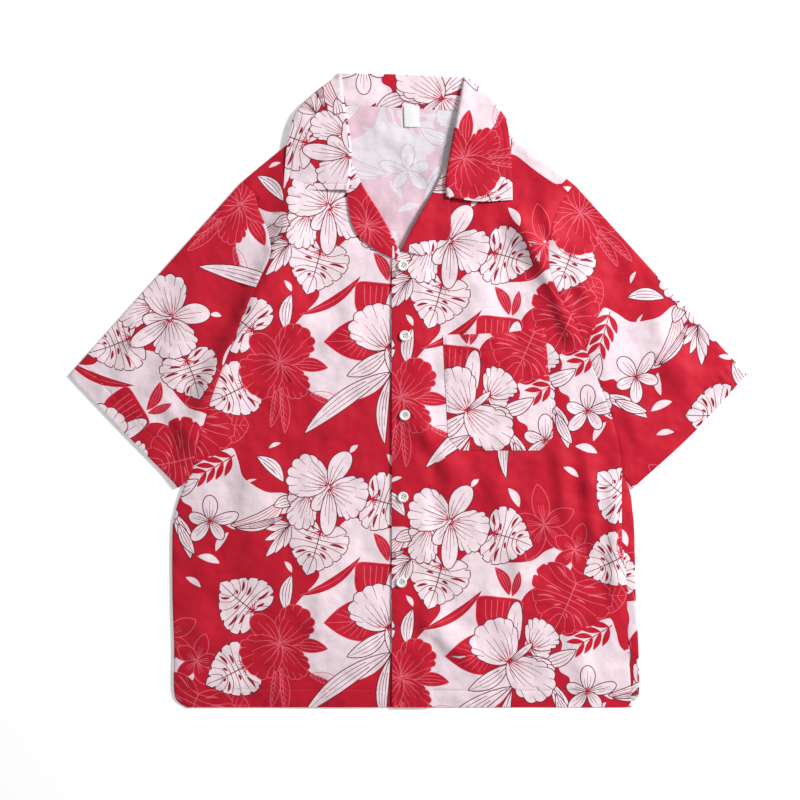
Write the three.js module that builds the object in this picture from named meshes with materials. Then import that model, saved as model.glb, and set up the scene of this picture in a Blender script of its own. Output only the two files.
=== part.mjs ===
// A short-sleeved printed shirt with a camp collar, laid flat on its back. Millimetres, +Z up,
// +X to the right as seen from above and +Y towards the collar. The table top is z = 0.
import * as THREE from "three";

// Driving dimensions
const WALL = 1.2; // cloth
const SEAM = 0.7; // between two pieces at a seam
const LAYER = 2.1; // from one cloth's middle to the next one's above it
const REST = WALL / 2; // middle of a cloth that lies on the table
const FALL_RISE = 1.7; // how far the collar's fall lifts what lies on it
const FALL_EDGE_Y = 298; // where the back comes down off the fall
const FALL_SLOPE = 16; // over this length
const LAPEL_ROLL = 1.1; // radius of the lapel's fold
const EDGE_STRIP = 8; // width of the strip beyond the roll line where there is no lapel
const LAP_EDGE = -19; // edge of the upper front, down to the hem
const UNDER_EDGE = 15; // edge of the front below it
const HEM_Y = -379;
const BACK_INSET = 3; // the back's edge from the fronts' rolled sides

// The largest folds, each a soft ridge from (x1, y1) to (x2, y2).
const FOLDS = [
  { x1: -138, y1: 226, x2: -150, y2: 150, height: 3.4, width: 15 },
  { x1: -150, y1: 160, x2: -219, y2: -6, height: 4.0, width: 15 },
  { x1: -219, y1: -6, x2: -243, y2: -84, height: 3.0, width: 13 },
  { x1: 130, y1: 226, x2: 152, y2: 110, height: 3.2, width: 13 },
  { x1: 182, y1: -70, x2: 190, y2: -280, height: 2.6, width: 20 },
  { x1: 236, y1: -130, x2: 246, y2: -300, height: 1.8, width: 12 },
  { x1: -232, y1: -150, x2: -214, y2: -330, height: 2.0, width: 16 },
  { x1: -120, y1: 60, x2: -70, y2: -60, height: 1.4, width: 22 },
  { x1: 20, y1: -110, x2: 60, y2: -300, height: 1.4, width: 22 },
];
const SLEEVE_FOLDS = [
  { x1: -190, y1: 196, x2: -272, y2: 92, height: 2.4, width: 17 },
  { x1: -236, y1: 60, x2: -300, y2: -20, height: 1.8, width: 15 },
  { x1: 196, y1: 190, x2: 286, y2: 96, height: 2.2, width: 17 },
  { x1: 240, y1: 60, x2: 318, y2: -12, height: 1.8, width: 15 },
];

// Armhole seams from the shoulder to the underarm, where the sleeves meet the body.
const ARMHOLE_LEFT = [
  [-198, 250], [-184, 236], [-178, 215], [-168, 192], [-164, 165], [-177, 134], [-194, 98],
  [-206, 66], [-219, 34], [-233, -4], [-243, -36], [-252, -66], [-259, -100],
];
const ARMHOLE_RIGHT = [
  [198, 247], [185, 229], [175, 209], [170, 188], [168, 164], [172, 136], [186, 106],
  [202, 78], [215, 46], [229, 10], [242, -24], [252, -60], [257, -100],
];

// Sides from below the underarm to the hem.
const SIDE_LEFT = [
  [-269, -122], [-277, -144], [-281, -168], [-281, -194], [-281, -220], [-281, -248],
  [-280, -276], [-279, -304], [-278, -330], [-278, -356], [-278, HEM_Y],
];
const SIDE_RIGHT = [
  [265, -122], [268, -144], [270, -168], [270, -194], [271, -220], [272, -248],
  [274, -276], [275, -304], [275, -330], [276, -356], [276, HEM_Y],
];

// The top of the back: the neck seam, then down each shoulder, one row for each section.
const BACK_TOP = [
  { left: [-70, 341.4], right: [59, 334.9] },
  { left: [-92, 334], right: [79, 329] },
  { left: [-110, 325], right: [97, 320] },
  { left: [-128, 312], right: [114, 311] },
  { left: [-146, 297], right: [133, 297] },
  { left: [-164, 281], right: [152, 283] },
  { left: [-182, 265], right: [175, 267] },
];

// The fronts' inner edges, one row for each section from the shoulder seam down to the lap.
// "roll" is where the edge strip starts and "turn" is how far the strip is turned over. At
// 180 it is a lapel and its free edge lies at "free". "bow" rounds the shoulder.
const NECK_RIGHT = [
  { roll: [-90, 322], turn: 0, bow: 7 },
  { roll: [-84, 306], turn: 0, bow: 5 },
  { roll: [-78, 290], turn: 0, bow: 2 },
  { roll: [-70, 272], turn: 90, bow: 0 },
  { roll: [-62, 256], turn: 180, free: [-76, 252], bow: 0 },
  { roll: [-52, 238], turn: 180, free: [-73, 233], bow: 0 },
  { roll: [-41, 221], turn: 180, free: [-71, 214], bow: 0 },
  { roll: [-31, 204], turn: 180, free: [-66, 196], bow: 0 },
  { roll: [-26, 195], turn: 180, free: [-53, 186], bow: 0 },
  { roll: [-21, 186], turn: 180, free: [-35, 179], bow: 0 },
  { roll: [-17, 177], turn: 90, bow: 0 },
  { roll: [-11, 164], turn: 0, bow: 0 },
  { roll: [-1, 142], turn: 0, bow: 0 },
];
const NECK_LEFT = [
  { roll: [79, 321], turn: 0, bow: 7 },
  { roll: [70, 306], turn: 0, bow: 5 },
  { roll: [61, 290], turn: 0, bow: 2 },
  { roll: [50, 272], turn: 90, bow: 0 },
  { roll: [41, 256], turn: 180, free: [54, 252], bow: 0 },
  { roll: [33, 240], turn: 180, free: [51, 236], bow: 0 },
  { roll: [24, 224], turn: 180, free: [50, 217], bow: 0 },
  { roll: [15, 208], turn: 180, free: [50, 199], bow: 0 },
  { roll: [7, 194], turn: 180, free: [43, 184], bow: 0 },
  { roll: [0, 181], turn: 180, free: [22, 173], bow: 0 },
  { roll: [-5, 169], turn: 90, bow: 0 },
  { roll: [-10, 154], turn: 0, bow: 0 },
  { roll: [-11, 136], turn: 0, bow: 0 },
];
const ACROSS = 10; // cells across a front
const ACROSS_BACK = 16;

// The collar, one row for each section from the wearer's right leaf round the back neck to
// the left one: seam, roll line and outer edge, and the height of each. The fall lies on the
// front at both ends and under the back between them. "bow" rounds the folds beside the neck.
const COLLAR = [
  { seam: [-79, 244], roll: [-73, 241], edge: [-149, 243], up: [6.8, 7.8, 5.0], bow: 0 },
  { seam: [-77, 260], roll: [-70, 258], edge: [-148, 259], up: [6.8, 7.8, 5.1], bow: 0 },
  { seam: [-76, 278], roll: [-69, 276], edge: [-146, 276], up: [7.2, 8.2, 5.8], bow: 0 },
  { seam: [-79, 298], roll: [-70, 298], edge: [-144, 293], up: [8.2, 9.4, 6.8], bow: 0 },
  { seam: [-81, 316], roll: [-73, 322], edge: [-142, 304], up: [8.0, 9.2, 6.8], bow: 2 },
  { seam: [-82, 327], roll: [-78, 346], edge: [-141, 311], up: [7.2, 8.6, 6.6], bow: 4 },
  { seam: [-81, 334], roll: [-82, 364], edge: [-140, 317], up: [6.2, 7.4, 6.0], bow: 5 },
  { seam: [-78, 339], roll: [-85, 376], edge: [-139, 322], up: [4.4, 4.4, 3.2], bow: 5 },
  { seam: [-72, 342.6], roll: [-79, 379], edge: [-134, 321], up: [2.8, 1.8, 0.6], bow: 3 },
  { seam: [-60, 342], roll: [-64, 379.5], edge: [-112, 314], up: [2.4, 1.5, 0.6], bow: 0 },
  { seam: [-46, 341.3], roll: [-48, 379], edge: [-84, 308], up: [2.3, 1.5, 0.6], bow: 0 },
  { seam: [-26, 340.3], roll: [-27, 378], edge: [-46, 304], up: [2.3, 1.5, 0.6], bow: 0 },
  { seam: [-5, 339.2], roll: [-5, 377.5], edge: [-6, 303], up: [2.3, 1.5, 0.6], bow: 0 },
  { seam: [16, 338.1], roll: [15, 377], edge: [32, 304], up: [2.3, 1.5, 0.6], bow: 0 },
  { seam: [34, 337.2], roll: [36, 376], edge: [66, 307], up: [2.3, 1.5, 0.6], bow: 0 },
  { seam: [48, 336.4], roll: [52, 375.5], edge: [90, 312], up: [2.4, 1.5, 0.6], bow: 0 },
  { seam: [60, 335.8], roll: [66, 374.5], edge: [111, 319], up: [2.8, 1.8, 0.6], bow: 3 },
  { seam: [66, 333], roll: [71, 371], edge: [116, 321], up: [4.4, 4.4, 3.2], bow: 5 },
  { seam: [70, 328], roll: [69, 358], edge: [118, 315], up: [6.2, 7.4, 6.0], bow: 5 },
  { seam: [71, 320], roll: [66, 340], edge: [119, 309], up: [7.2, 8.6, 6.6], bow: 4 },
  { seam: [70, 308], roll: [62, 318], edge: [120, 301], up: [8.0, 9.2, 6.8], bow: 2 },
  { seam: [65, 290], roll: [56, 294], edge: [122, 284], up: [8.2, 9.4, 6.8], bow: 0 },
  { seam: [60, 270], roll: [52, 273], edge: [123, 264], up: [7.2, 8.2, 5.8], bow: 0 },
  { seam: [57, 252], roll: [49, 252], edge: [124, 246], up: [6.8, 7.8, 5.1], bow: 0 },
  { seam: [56, 236], roll: [48, 232], edge: [125, 229], up: [6.8, 7.8, 5.0], bow: 0 },
];
const LEAF_CELLS = 5; // from the roll line to the outer edge
const LEAF_ROLL = 2.0; // how far the roll line stands out from its two layers

// Sleeves: the hem's two corners, and the rings between the armhole and the hem.
const CUFF_LEFT = { top: [-405, 19], bottom: [-276, -114], bulge: 1 };
const CUFF_RIGHT = { top: [405, 19], bottom: [270, -116], bulge: 4 };
const RINGS = 9;
const SLEEVE_ROLL = 1.8; // how far the sleeve's folded edges run past its two layers

// Patch pocket on the wearer's left front, with its lower corners cut off.
const POCKET = {
  topLeft: [42, 67], topRight: [164, 77], lowLeft: [48, -55], lowRight: [173, -55],
  depth: 16, corner: 0.12, rows: 8, lift: 1.9,
};
const POCKET_COLUMNS = [0, 0.12, 0.27, 0.42, 0.58, 0.73, 0.88, 1];

// Buttons with four holes, at their places on the lap.
const BUTTON = { radius: 6.4, thick: 2.2, hole: 0.9, holeAt: 1.8, sides: 24, holeSides: 8 };
const BUTTONS = [[-6, 150], [-4, 66], [-4, -29], [-6, -127], [-8, -229]];
const BUTTON_GAP = 0.35;
const LABEL = { left: -5, right: 13, top: 345, bottom: 316, wall: 1.0, gap: 0.4 };

const CLOTH = { color: 0xcf1f34, roughness: 0.82, metalness: 0 };
const LINING_SIDE = { color: 0xe5d9df, roughness: 0.86, metalness: 0 };
const PLASTIC = { color: 0xf1ecea, roughness: 0.35, metalness: 0 };

// Points and heights
const mix = (a, b, t) => a.map((v, k) => v + (b[k] - v) * t);
const shifted = (points, dx) => points.map(([x, y]) => [x + dx, y]);

function smooth(t) {
  const s = Math.min(1, Math.max(0, t));
  return s * s * (3 - 2 * s);
}

// Twice as many points on the same line.
function halved(points) {
  return points.flatMap((p, k) => (k === 0 ? [p] : [mix(points[k - 1], p, 0.5), p]));
}

// A soft ridge that dies out towards both of its ends.
function ridge(fold, x, y) {
  const dx = fold.x2 - fold.x1;
  const dy = fold.y2 - fold.y1;
  const length = Math.hypot(dx, dy);
  const along = ((x - fold.x1) * dx + (y - fold.y1) * dy) / (length * length);
  const aside = ((x - fold.x1) * dy - (y - fold.y1) * dx) / length;
  const fade = smooth((along + 0.15) / 0.4) * smooth((1.15 - along) / 0.4);
  return fold.height * fade * Math.exp(-((aside / fold.width) ** 2));
}

const folded = (folds, x, y) => folds.reduce((sum, fold) => sum + ridge(fold, x, y), 0);
const backLie = (x, y) => REST + FALL_RISE * smooth((y - FALL_EDGE_Y) / FALL_SLOPE + 1);
const underLie = (x, y) => backLie(x, y) + LAYER + folded(FOLDS, x, y);
const upperLie = (x, y) => underLie(x, y) + LAYER * (1 - smooth((x - UNDER_EDGE - 4) / 14));
const sleeveLie = (x, y) => REST + LAYER + folded(SLEEVE_FOLDS, x, y);

// A closed cloth wall round a grid of middle points, whose rows run across and follow each
// other down. A tube's rows are rings that close on themselves.
function clothWall(grid, wall = WALL, tube = false) {
  const rows = grid.length;
  const cols = grid[0].length;
  const column = (j) => (tube ? (j + cols) % cols : Math.min(cols - 1, Math.max(0, j)));
  const point = (i, j) => new THREE.Vector3(...grid[Math.min(rows - 1, Math.max(0, i))][column(j)]);
  const outer = [];
  const inner = [];
  for (let i = 0; i < rows; i++) {
    for (let j = 0; j < cols; j++) {
      const across = point(i, j + 1).sub(point(i, j - 1));
      const down = point(i + 1, j).sub(point(i - 1, j));
      const normal = down.cross(across).normalize();
      outer.push(point(i, j).addScaledVector(normal, wall / 2));
      inner.push(point(i, j).addScaledVector(normal, -wall / 2));
    }
  }
  const behind = rows * cols;
  const faces = [];
  const quad = (a, b, c, d) => faces.push(a, b, c, a, c, d);
  const index = (i, j) => i * cols + (j % cols);
  const cells = tube ? cols : cols - 1;
  for (let i = 0; i < rows - 1; i++) {
    for (let j = 0; j < cells; j++) {
      const [a, b, c, d] = [index(i, j), index(i + 1, j), index(i + 1, j + 1), index(i, j + 1)];
      quad(a, b, c, d);
      quad(behind + a, behind + d, behind + c, behind + b);
    }
  }
  for (let j = 0; j < cells; j++) {
    const [a, b] = [index(0, j), index(0, j + 1)];
    const [c, d] = [index(rows - 1, j), index(rows - 1, j + 1)];
    quad(a, b, behind + b, behind + a);
    quad(c, behind + c, behind + d, d);
  }
  for (let i = 0; i < rows - 1 && !tube; i++) {
    const [a, b] = [index(i, 0), index(i + 1, 0)];
    const [c, d] = [index(i, cols - 1), index(i + 1, cols - 1)];
    quad(a, behind + a, behind + b, b);
    quad(c, d, behind + d, behind + c);
  }
  const geometry = new THREE.BufferGeometry();
  const flat = new Float32Array([...outer, ...inner].flatMap((p) => [p.x, p.y, p.z]));
  geometry.setAttribute("position", new THREE.BufferAttribute(flat, 3));
  geometry.setIndex(faces);
  return geometry;
}

function piece(name, geometry, finish) {
  const mesh = new THREE.Mesh(geometry, new THREE.MeshStandardMaterial(finish));
  mesh.name = name;
  return mesh;
}

// Back
function backGrid() {
  const left = [...shifted(ARMHOLE_LEFT, SEAM / 2), ...shifted(SIDE_LEFT, BACK_INSET)];
  const right = [...shifted(ARMHOLE_RIGHT, -SEAM / 2), ...shifted(SIDE_RIGHT, -BACK_INSET)];
  const rows = [...BACK_TOP, ...left.map((point, k) => ({ left: point, right: right[k] }))];
  return rows.map((row) => {
    const cells = [];
    for (let j = 0; j <= ACROSS_BACK; j++) {
      const [x, y] = mix(row.left, row.right, j / ACROSS_BACK);
      cells.push([x, y, backLie(x, y)]);
    }
    return cells;
  });
}

// The front's inner edge, continued from the last row of its table to the hem. The roll line
// moves over to its place beside the edge within the first rows.
function innerEdge(table, edge, count) {
  const [x, y] = table[table.length - 1].roll;
  const added = count - table.length;
  const rows = Array.from({ length: added }, (_, k) => {
    const t = (k + 1) / added;
    return { roll: mix([x, y], [edge, HEM_Y], t), turn: 0, bow: 0 };
  });
  rows.forEach((row, k) => {
    row.roll[0] = x + (edge - x) * smooth((k + 1) / 3);
  });
  return [...table, ...rows];
}

// The strip past the roll line: flat, standing, or folded back over the front as a lapel.
function edgeStrip(row, ahead, lie) {
  const [x, y] = row.roll;
  const r = LAPEL_ROLL;
  const step = (out, up) => [x + ahead[0] * out, y + ahead[1] * out, lie(x, y) + up];
  if (row.turn === 0) {
    return [0.3, 0.55, 0.8, 1].map((t) => {
      const [px, py] = step(EDGE_STRIP * t, 0);
      return [px, py, lie(px, py)];
    });
  }
  if (row.turn === 90) {
    return [step(r * 0.8, r * 0.4), step(r, r * 1.1), step(r, r * 1.8), step(r, r * 2.5)];
  }
  const over = (t) => {
    const [px, py] = mix(row.roll, row.free, t);
    return [px, py, lie(px, py) + 2 * r];
  };
  return [step(r, r * 0.5), step(r, r * 1.5), over(0.3), over(1)];
}

// The outer end of a front's section: flat at the armhole seam, rolled down to the table at
// the side.
function outerEnd(start, ahead, rolled, lie) {
  const at = (inset) => [start[0] + ahead[0] * inset, start[1] + ahead[1] * inset];
  const high = (inset, drop) => {
    const [x, y] = at(inset);
    return [x, y, lie(x, y) - drop];
  };
  if (!rolled) return [high(0, 0), high(1.2, 0), high(2.4, 0), high(3.6, 0)];
  return [[...at(0.6), 0.3], [...at(0.7), 1.4], high(1.4, 0.45), high(3.2, 0)];
}

// A front from the shoulder seam to the hem. Its sections start at the armhole or the side.
function frontGrid(armhole, side, table, edge, lie) {
  const arm = halved(armhole);
  const starts = [...arm, ...side];
  const rows = innerEdge(table, edge, starts.length);
  return rows.map((row, k) => {
    const start = starts[k];
    const span = Math.hypot(row.roll[0] - start[0], row.roll[1] - start[1]);
    const ahead = [(row.roll[0] - start[0]) / span, (row.roll[1] - start[1]) / span];
    const up = ahead[0] > 0 ? [-ahead[1], ahead[0]] : [ahead[1], -ahead[0]];
    const end = outerEnd(start, ahead, k >= arm.length, lie);
    const first = end[end.length - 1];
    const cells = [];
    for (let j = 1; j <= ACROSS; j++) {
      const s = j / ACROSS;
      const bow = row.bow * 4 * s * (1 - s);
      const [x, y] = mix([first[0], first[1]], row.roll, s);
      const [px, py] = [x + up[0] * bow, y + up[1] * bow];
      cells.push([px, py, lie(px, py)]);
    }
    return [...end, ...cells, ...edgeStrip(row, ahead, lie)];
  });
}

// Sleeve, a flat tube of rings from the armhole to its hem
function sleeveGrid(armhole, cuff) {
  const last = armhole.length - 1;
  const hemAt = (u) => {
    const [x, y] = mix(cuff.top, cuff.bottom, u);
    return [x + Math.sign(x) * cuff.bulge * 4 * u * (1 - u), y - cuff.bulge * 2 * u * (1 - u)];
  };
  return Array.from({ length: RINGS + 1 }, (_, k) => {
    const f = k / RINGS;
    const line = armhole.map((p, j) => mix(p, hemAt(j / last), f));
    const inset = (p, q) => mix(p, q, SLEEVE_ROLL / Math.hypot(q[0] - p[0], q[1] - p[1]));
    const flat = [inset(line[0], line[1]), ...line.slice(1, last), inset(line[last], line[last - 1])];
    const top = flat.map(([x, y]) => [x, y, sleeveLie(x, y)]);
    const low = flat.map(([x, y]) => [x, y, REST]).reverse();
    const turn = ([x, y]) => [x, y, (REST + sleeveLie(x, y)) / 2];
    return [turn(line[0]), ...top, turn(line[last]), ...low];
  });
}

// Collar: the stand from the seam to the roll line, then the fall
function collarGrid() {
  return COLLAR.map((row) => {
    const [seamUp, rollUp, edgeUp] = row.up;
    const towards = (p, q) => mix(p, q, LEAF_ROLL / Math.hypot(q[0] - p[0], q[1] - p[1]));
    const side = Math.sign(row.edge[0] - row.roll[0]);
    const bowed = ([x, y], t) => {
      const bow = row.bow * 4 * t * (1 - t);
      return [x + side * bow * 0.75, y + bow * 0.66];
    };
    const standTop = towards(row.roll, row.seam);
    const fallTop = towards(row.roll, row.edge);
    const rise = Math.abs(rollUp - edgeUp) > 1.2 || seamUp > 5 ? 0.9 : 0.85;
    const onFront = row.up[2] > 3;
    const standUp = onFront ? rollUp - rise : rollUp + rise;
    const fallUp = onFront ? rollUp + rise : rollUp - rise;
    const stand = [[...row.seam, seamUp], [...mix(row.seam, standTop, 0.5), mix([seamUp], [standUp], 0.5)[0]]];
    const fall = Array.from({ length: LEAF_CELLS }, (_, k) => {
      const t = (k + 1) / LEAF_CELLS;
      return [...bowed(mix(fallTop, row.edge, t), t), mix([fallUp], [edgeUp], t)[0]];
    });
    return [...stand, [...standTop, standUp], [...row.roll, rollUp], [...fallTop, fallUp], ...fall];
  });
}

// Pocket, from the points of the front below it
function pocketGrid() {
  return Array.from({ length: POCKET.rows + 1 }, (_, i) => {
    const t = i / POCKET.rows;
    return POCKET_COLUMNS.map((s) => {
      const corner = Math.min(1, s / POCKET.corner, (1 - s) / POCKET.corner);
      const top = mix(POCKET.topLeft, POCKET.topRight, s);
      const low = mix(POCKET.lowLeft, POCKET.lowRight, s);
      const [x, y] = mix(top, [low[0], low[1] - POCKET.depth * corner], t);
      return [x, y, upperLie(x, y) + POCKET.lift];
    });
  });
}

// Button and label
function circle(radius, sides, x = 0, y = 0) {
  return Array.from({ length: sides }, (_, k) => {
    const angle = (2 * Math.PI * k) / sides;
    return new THREE.Vector2(x + radius * Math.cos(angle), y + radius * Math.sin(angle));
  });
}

function buttonGeometry() {
  const disc = new THREE.Shape(circle(BUTTON.radius, BUTTON.sides));
  for (const [x, y] of [[1, 1], [-1, 1], [-1, -1], [1, -1]]) {
    const hole = circle(BUTTON.hole, BUTTON.holeSides, x * BUTTON.holeAt, y * BUTTON.holeAt);
    disc.holes.push(new THREE.Path(hole));
  }
  return new THREE.ExtrudeGeometry(disc, { depth: BUTTON.thick, bevelEnabled: false });
}

function labelGrid() {
  const z = REST + FALL_RISE + (WALL + LABEL.wall) / 2 + LABEL.gap;
  return [LABEL.top, LABEL.bottom].map((y) => [[LABEL.left, y, z], [LABEL.right, y, z]]);
}

// The shirt
const shirt = new THREE.Group();
const mirrored = (grid) => grid.map((row) => [...row].reverse());
const [armLeft, armRight] = [shifted(ARMHOLE_LEFT, SEAM / 2), shifted(ARMHOLE_RIGHT, -SEAM / 2)];
const under = frontGrid(armLeft, SIDE_LEFT, NECK_RIGHT, UNDER_EDGE - EDGE_STRIP, underLie);
const upper = frontGrid(armRight, SIDE_RIGHT, NECK_LEFT, LAP_EDGE + EDGE_STRIP, upperLie);
const sleeveRight = sleeveGrid(shifted(ARMHOLE_LEFT, -SEAM / 2), CUFF_LEFT);
const sleeveLeft = sleeveGrid(shifted(ARMHOLE_RIGHT, SEAM / 2), CUFF_RIGHT);
shirt.add(
  piece("back", clothWall(backGrid()), LINING_SIDE),
  piece("front_right", clothWall(under), CLOTH),
  piece("front_left", clothWall(mirrored(upper)), CLOTH),
  piece("sleeve_right", clothWall(sleeveRight, WALL, true), CLOTH),
  piece("sleeve_left", clothWall(mirrored(sleeveLeft), WALL, true), CLOTH),
  piece("collar", clothWall(mirrored(collarGrid())), CLOTH),
  piece("pocket", clothWall(pocketGrid()), CLOTH),
  piece("neck_label", clothWall(labelGrid(), LABEL.wall), PLASTIC),
);
BUTTONS.forEach(([x, y], k) => {
  const button = piece(`button_${k + 1}`, buttonGeometry(), PLASTIC);
  button.position.set(x, y, upperLie(x, y) + WALL / 2 + BUTTON_GAP);
  shirt.add(button);
});

export default shirt;
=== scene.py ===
"""A short-sleeved printed shirt with a camp collar, laid flat on a pale table.

Garment sizes are in millimetres, +X to the right as seen from above and +Y towards the collar.
The table top is z = 0. Meshes are turned to metres when they are made.
"""

import math

import bpy
import numpy as np
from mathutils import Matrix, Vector
from mathutils.geometry import delaunay_2d_cdt


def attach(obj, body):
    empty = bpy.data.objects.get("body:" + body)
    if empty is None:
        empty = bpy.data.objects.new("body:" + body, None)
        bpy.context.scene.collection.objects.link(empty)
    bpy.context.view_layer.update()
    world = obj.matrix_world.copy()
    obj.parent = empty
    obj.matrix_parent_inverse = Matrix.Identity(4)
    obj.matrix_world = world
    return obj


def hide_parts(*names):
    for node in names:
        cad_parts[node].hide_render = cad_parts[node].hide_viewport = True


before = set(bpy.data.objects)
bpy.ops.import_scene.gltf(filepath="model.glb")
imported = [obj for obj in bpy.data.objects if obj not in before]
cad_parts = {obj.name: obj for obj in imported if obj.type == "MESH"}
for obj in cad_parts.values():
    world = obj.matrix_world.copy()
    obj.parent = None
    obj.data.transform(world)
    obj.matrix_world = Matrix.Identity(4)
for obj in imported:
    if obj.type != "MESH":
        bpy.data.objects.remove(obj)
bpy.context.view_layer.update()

MM = 0.001
PIXEL = 1.2  # what one pixel of the photograph covers on the table
CLOTH = 0.6  # thickness of the cloth
LAYER = 2.1  # from one cloth's middle to the next one's above it
REST = 0.6  # middle of a cloth that lies on the table
FALL_RISE = 1.7  # how far the collar's fall lifts what lies on it
FALL_EDGE_Y = 298  # front edge of the collar's fall
FALL_SLOPE = 16  # the cloth over it comes down within this length in front of that edge
FLOOR_GAP = 0.25  # what rolls down to the table stops here
SEAM = 0.35  # half of the gap at a seam
UNDER_EDGE = 15  # edge of the front that lies under the lap
LAP_EDGE = -19  # edge of the front that lies on top
LAP_STEP = 4  # from this far past the under edge the upper front comes down
LAP_SLOPE = 14  # and it is down after this length
HEM_Y = -379
HEM_DEPTH = 21  # from an edge to the stitches of its hem
HEM_DROP = 1.5  # how much lower the fronts lie at their hem
HEM_DROP_LENGTH = 26  # and over what length they come down to it
LOWEST_TROUGH = -1.2  # the cloth below stops what sinks further
CREASE_RUN_ON = 0.15  # a crease goes on past its ends by this share of its length
CREASE_FADE = 0.45  # and it dies out over this share
STITCH_DIP = 0.4  # how deep stitches pull the cloth in
STITCH_DIP_WIDTH = 0.9  # and how far to each side
SEAM_DIP = 0.45  # how deep the cloth goes in at a seam
SEAM_DIP_WIDTH = 2.0  # and how far from it
ROLL_WIDTH = 5.0  # a rolled edge changes to a cut one over this length
LAPEL_RISE = 2.0  # a lapel's middle over its front's
LAPEL_SINK = -0.3  # its rolled edge comes down to here, from the middle of the front

# Creases of the cloth. Each crest runs from its lower end up, through places in millimetres. Its
# flanks are the widths to its left and right, seen from above. A negative height is a trough.
CREASES = [
    # height, left flank, right flank, places
    (10.5, 17, 34, [(-268, -107), (-241, -6), (-203, 61), (-163, 145), (-138, 223), (-139, 262)]),
    (4.2, 40, 30, [(-190, -203), (-175, -59)]),
    (3.8, 20, 30, [(-254, -372), (-244, -263)]),
    (2.5, 9, 14, [(-140, -62), (-88, -44), (-31, -20)]),
    (2.8, 16, 22, [(-120, -330), (-96, -236)]),
    (3.0, 12, 18, [(-66, 40), (-78, 118)]),
    (2.2, 10, 16, [(-150, 30), (-118, 96)]),
    (-3.4, 20, 9, [(170, -40), (162, 19), (145, 112), (118, 179), (92, 214)]),
    (7.0, 9, 30, [(206, 40), (163, 145), (129, 212)]),
    (6.5, 40, 13, [(148, 158), (126, 222)]),
    (3.2, 26, 10, [(100, 176), (88, 214)]),
    (5.5, 8, 20, [(184, 160), (169, 199), (158, 238)]),
    (5.5, 11, 22, [(56, -112), (36, -71), (12, -36)]),
    (5.0, 10, 20, [(80, -328), (44, -299), (12, -266)]),
    (4.0, 9, 14, [(190, -165), (178, -59)]),
    (4.2, 8, 12, [(223, -190), (209, -66)]),
    (3.5, 8, 10, [(249, -260), (245, -100)]),
    (3.2, 12, 18, [(112, -165), (104, -92)]),
    (2.8, 14, 14, [(212, -360), (196, -250)]),
    (2.5, 12, 20, [(66, 36), (92, 128)]),
    (2.2, 9, 14, [(140, -240), (126, -180)]),
    (4.5, 110, 34, [(-70, -372), (-76, -250), (-92, -130)]),
    (3.0, 16, 60, [(-168, 20), (-140, 130)]),
    (4.2, 20, 26, [(-310, -14), (-268, 73), (-243, 150)]),
    (3.0, 12, 14, [(-352, 20), (-318, 66)]),
    (3.2, 10, 12, [(-262, -60), (-290, -12)]),
    (3.8, 12, 24, [(236, 40), (214, 109), (202, 175)]),
    (4.0, 16, 22, [(340, -16), (312, 49), (286, 112)]),
    (2.8, 10, 14, [(282, -76), (262, -20)]),
]

# Seams and edges
ARMHOLE_LEFT = [
    (-198, 250), (-184, 236), (-178, 215), (-168, 192), (-164, 165), (-177, 134), (-194, 98),
    (-206, 66), (-219, 34), (-233, -4), (-243, -36), (-252, -66), (-259, -100),
]
ARMHOLE_RIGHT = [
    (198, 247), (185, 229), (175, 209), (170, 188), (168, 164), (172, 136), (186, 106),
    (202, 78), (215, 46), (229, 10), (242, -24), (252, -60), (257, -100),
]
SIDE_LEFT = [
    (-259, -100), (-269, -122), (-277, -144), (-281, -168), (-281, -248), (-279, -304),
    (-279, -360), (-275, -372), (-265, HEM_Y),
]
SIDE_RIGHT = [
    (257, -100), (265, -122), (268, -144), (270, -168), (272, -248), (275, -304), (276, -358),
    (273, -370), (261, HEM_Y),
]
SIDE_SEAM = [
    (257, -100), (256, -122), (257, -194), (261, -209), (263, -272), (265, -316), (268, -370),
]
SHOULDER_LEFT = [(-198, 250), (-164, 278), (-128, 305), (-106, 320), (-84, 327)]
SHOULDER_RIGHT = [(198, 247), (156, 279), (118, 306), (96, 319), (73, 326)]


# Lines and heights

ORIGIN_PIXEL = (408, 391)  # the pixel of the photograph at the frame's origin


def from_pixel(px, py):
    """The place on the table in millimetres that a pixel of the photograph shows."""
    return np.array([(px - ORIGIN_PIXEL[0]) * PIXEL, (ORIGIN_PIXEL[1] - py) * PIXEL])


def smooth(t):
    """A soft step from 0 to 1."""
    t = np.clip(t, 0.0, 1.0)
    return t * t * (3 - 2 * t)


def curve(points, step=4.0, closed=False):
    """Points at about even steps on a smooth line through the given ones."""
    p = np.array(points, float)
    if closed:
        p = np.vstack([p[-1], p, p[0], p[1]])
    else:
        p = np.vstack([2 * p[0] - p[1], p, 2 * p[-1] - p[-2]])
    out = []
    for a, b, c, d in zip(p, p[1:], p[2:], p[3:]):
        count = max(1, math.ceil(np.linalg.norm(c - b) / step))
        t = (np.arange(count) / count)[:, None]
        out.append(0.5 * (2 * b + (c - a) * t + (2 * a - 5 * b + 4 * c - d) * t**2
                          + (3 * b - a - 3 * c + d) * t**3))
    if not closed:
        out.append(p[-2][None, :])
    return np.vstack(out)


def distance(x, y, line):
    """The distance from each point to a line of points."""
    nearest = np.full(np.shape(x), 1e9)
    line = np.asarray(line, float)
    for (x1, y1), (x2, y2) in zip(line, line[1:]):
        dx, dy = x2 - x1, y2 - y1
        t = np.clip(((x - x1) * dx + (y - y1) * dy) / (dx * dx + dy * dy + 1e-9), 0, 1)
        nearest = np.minimum(nearest, np.hypot(x - x1 - t * dx, y - y1 - t * dy))
    return nearest


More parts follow.
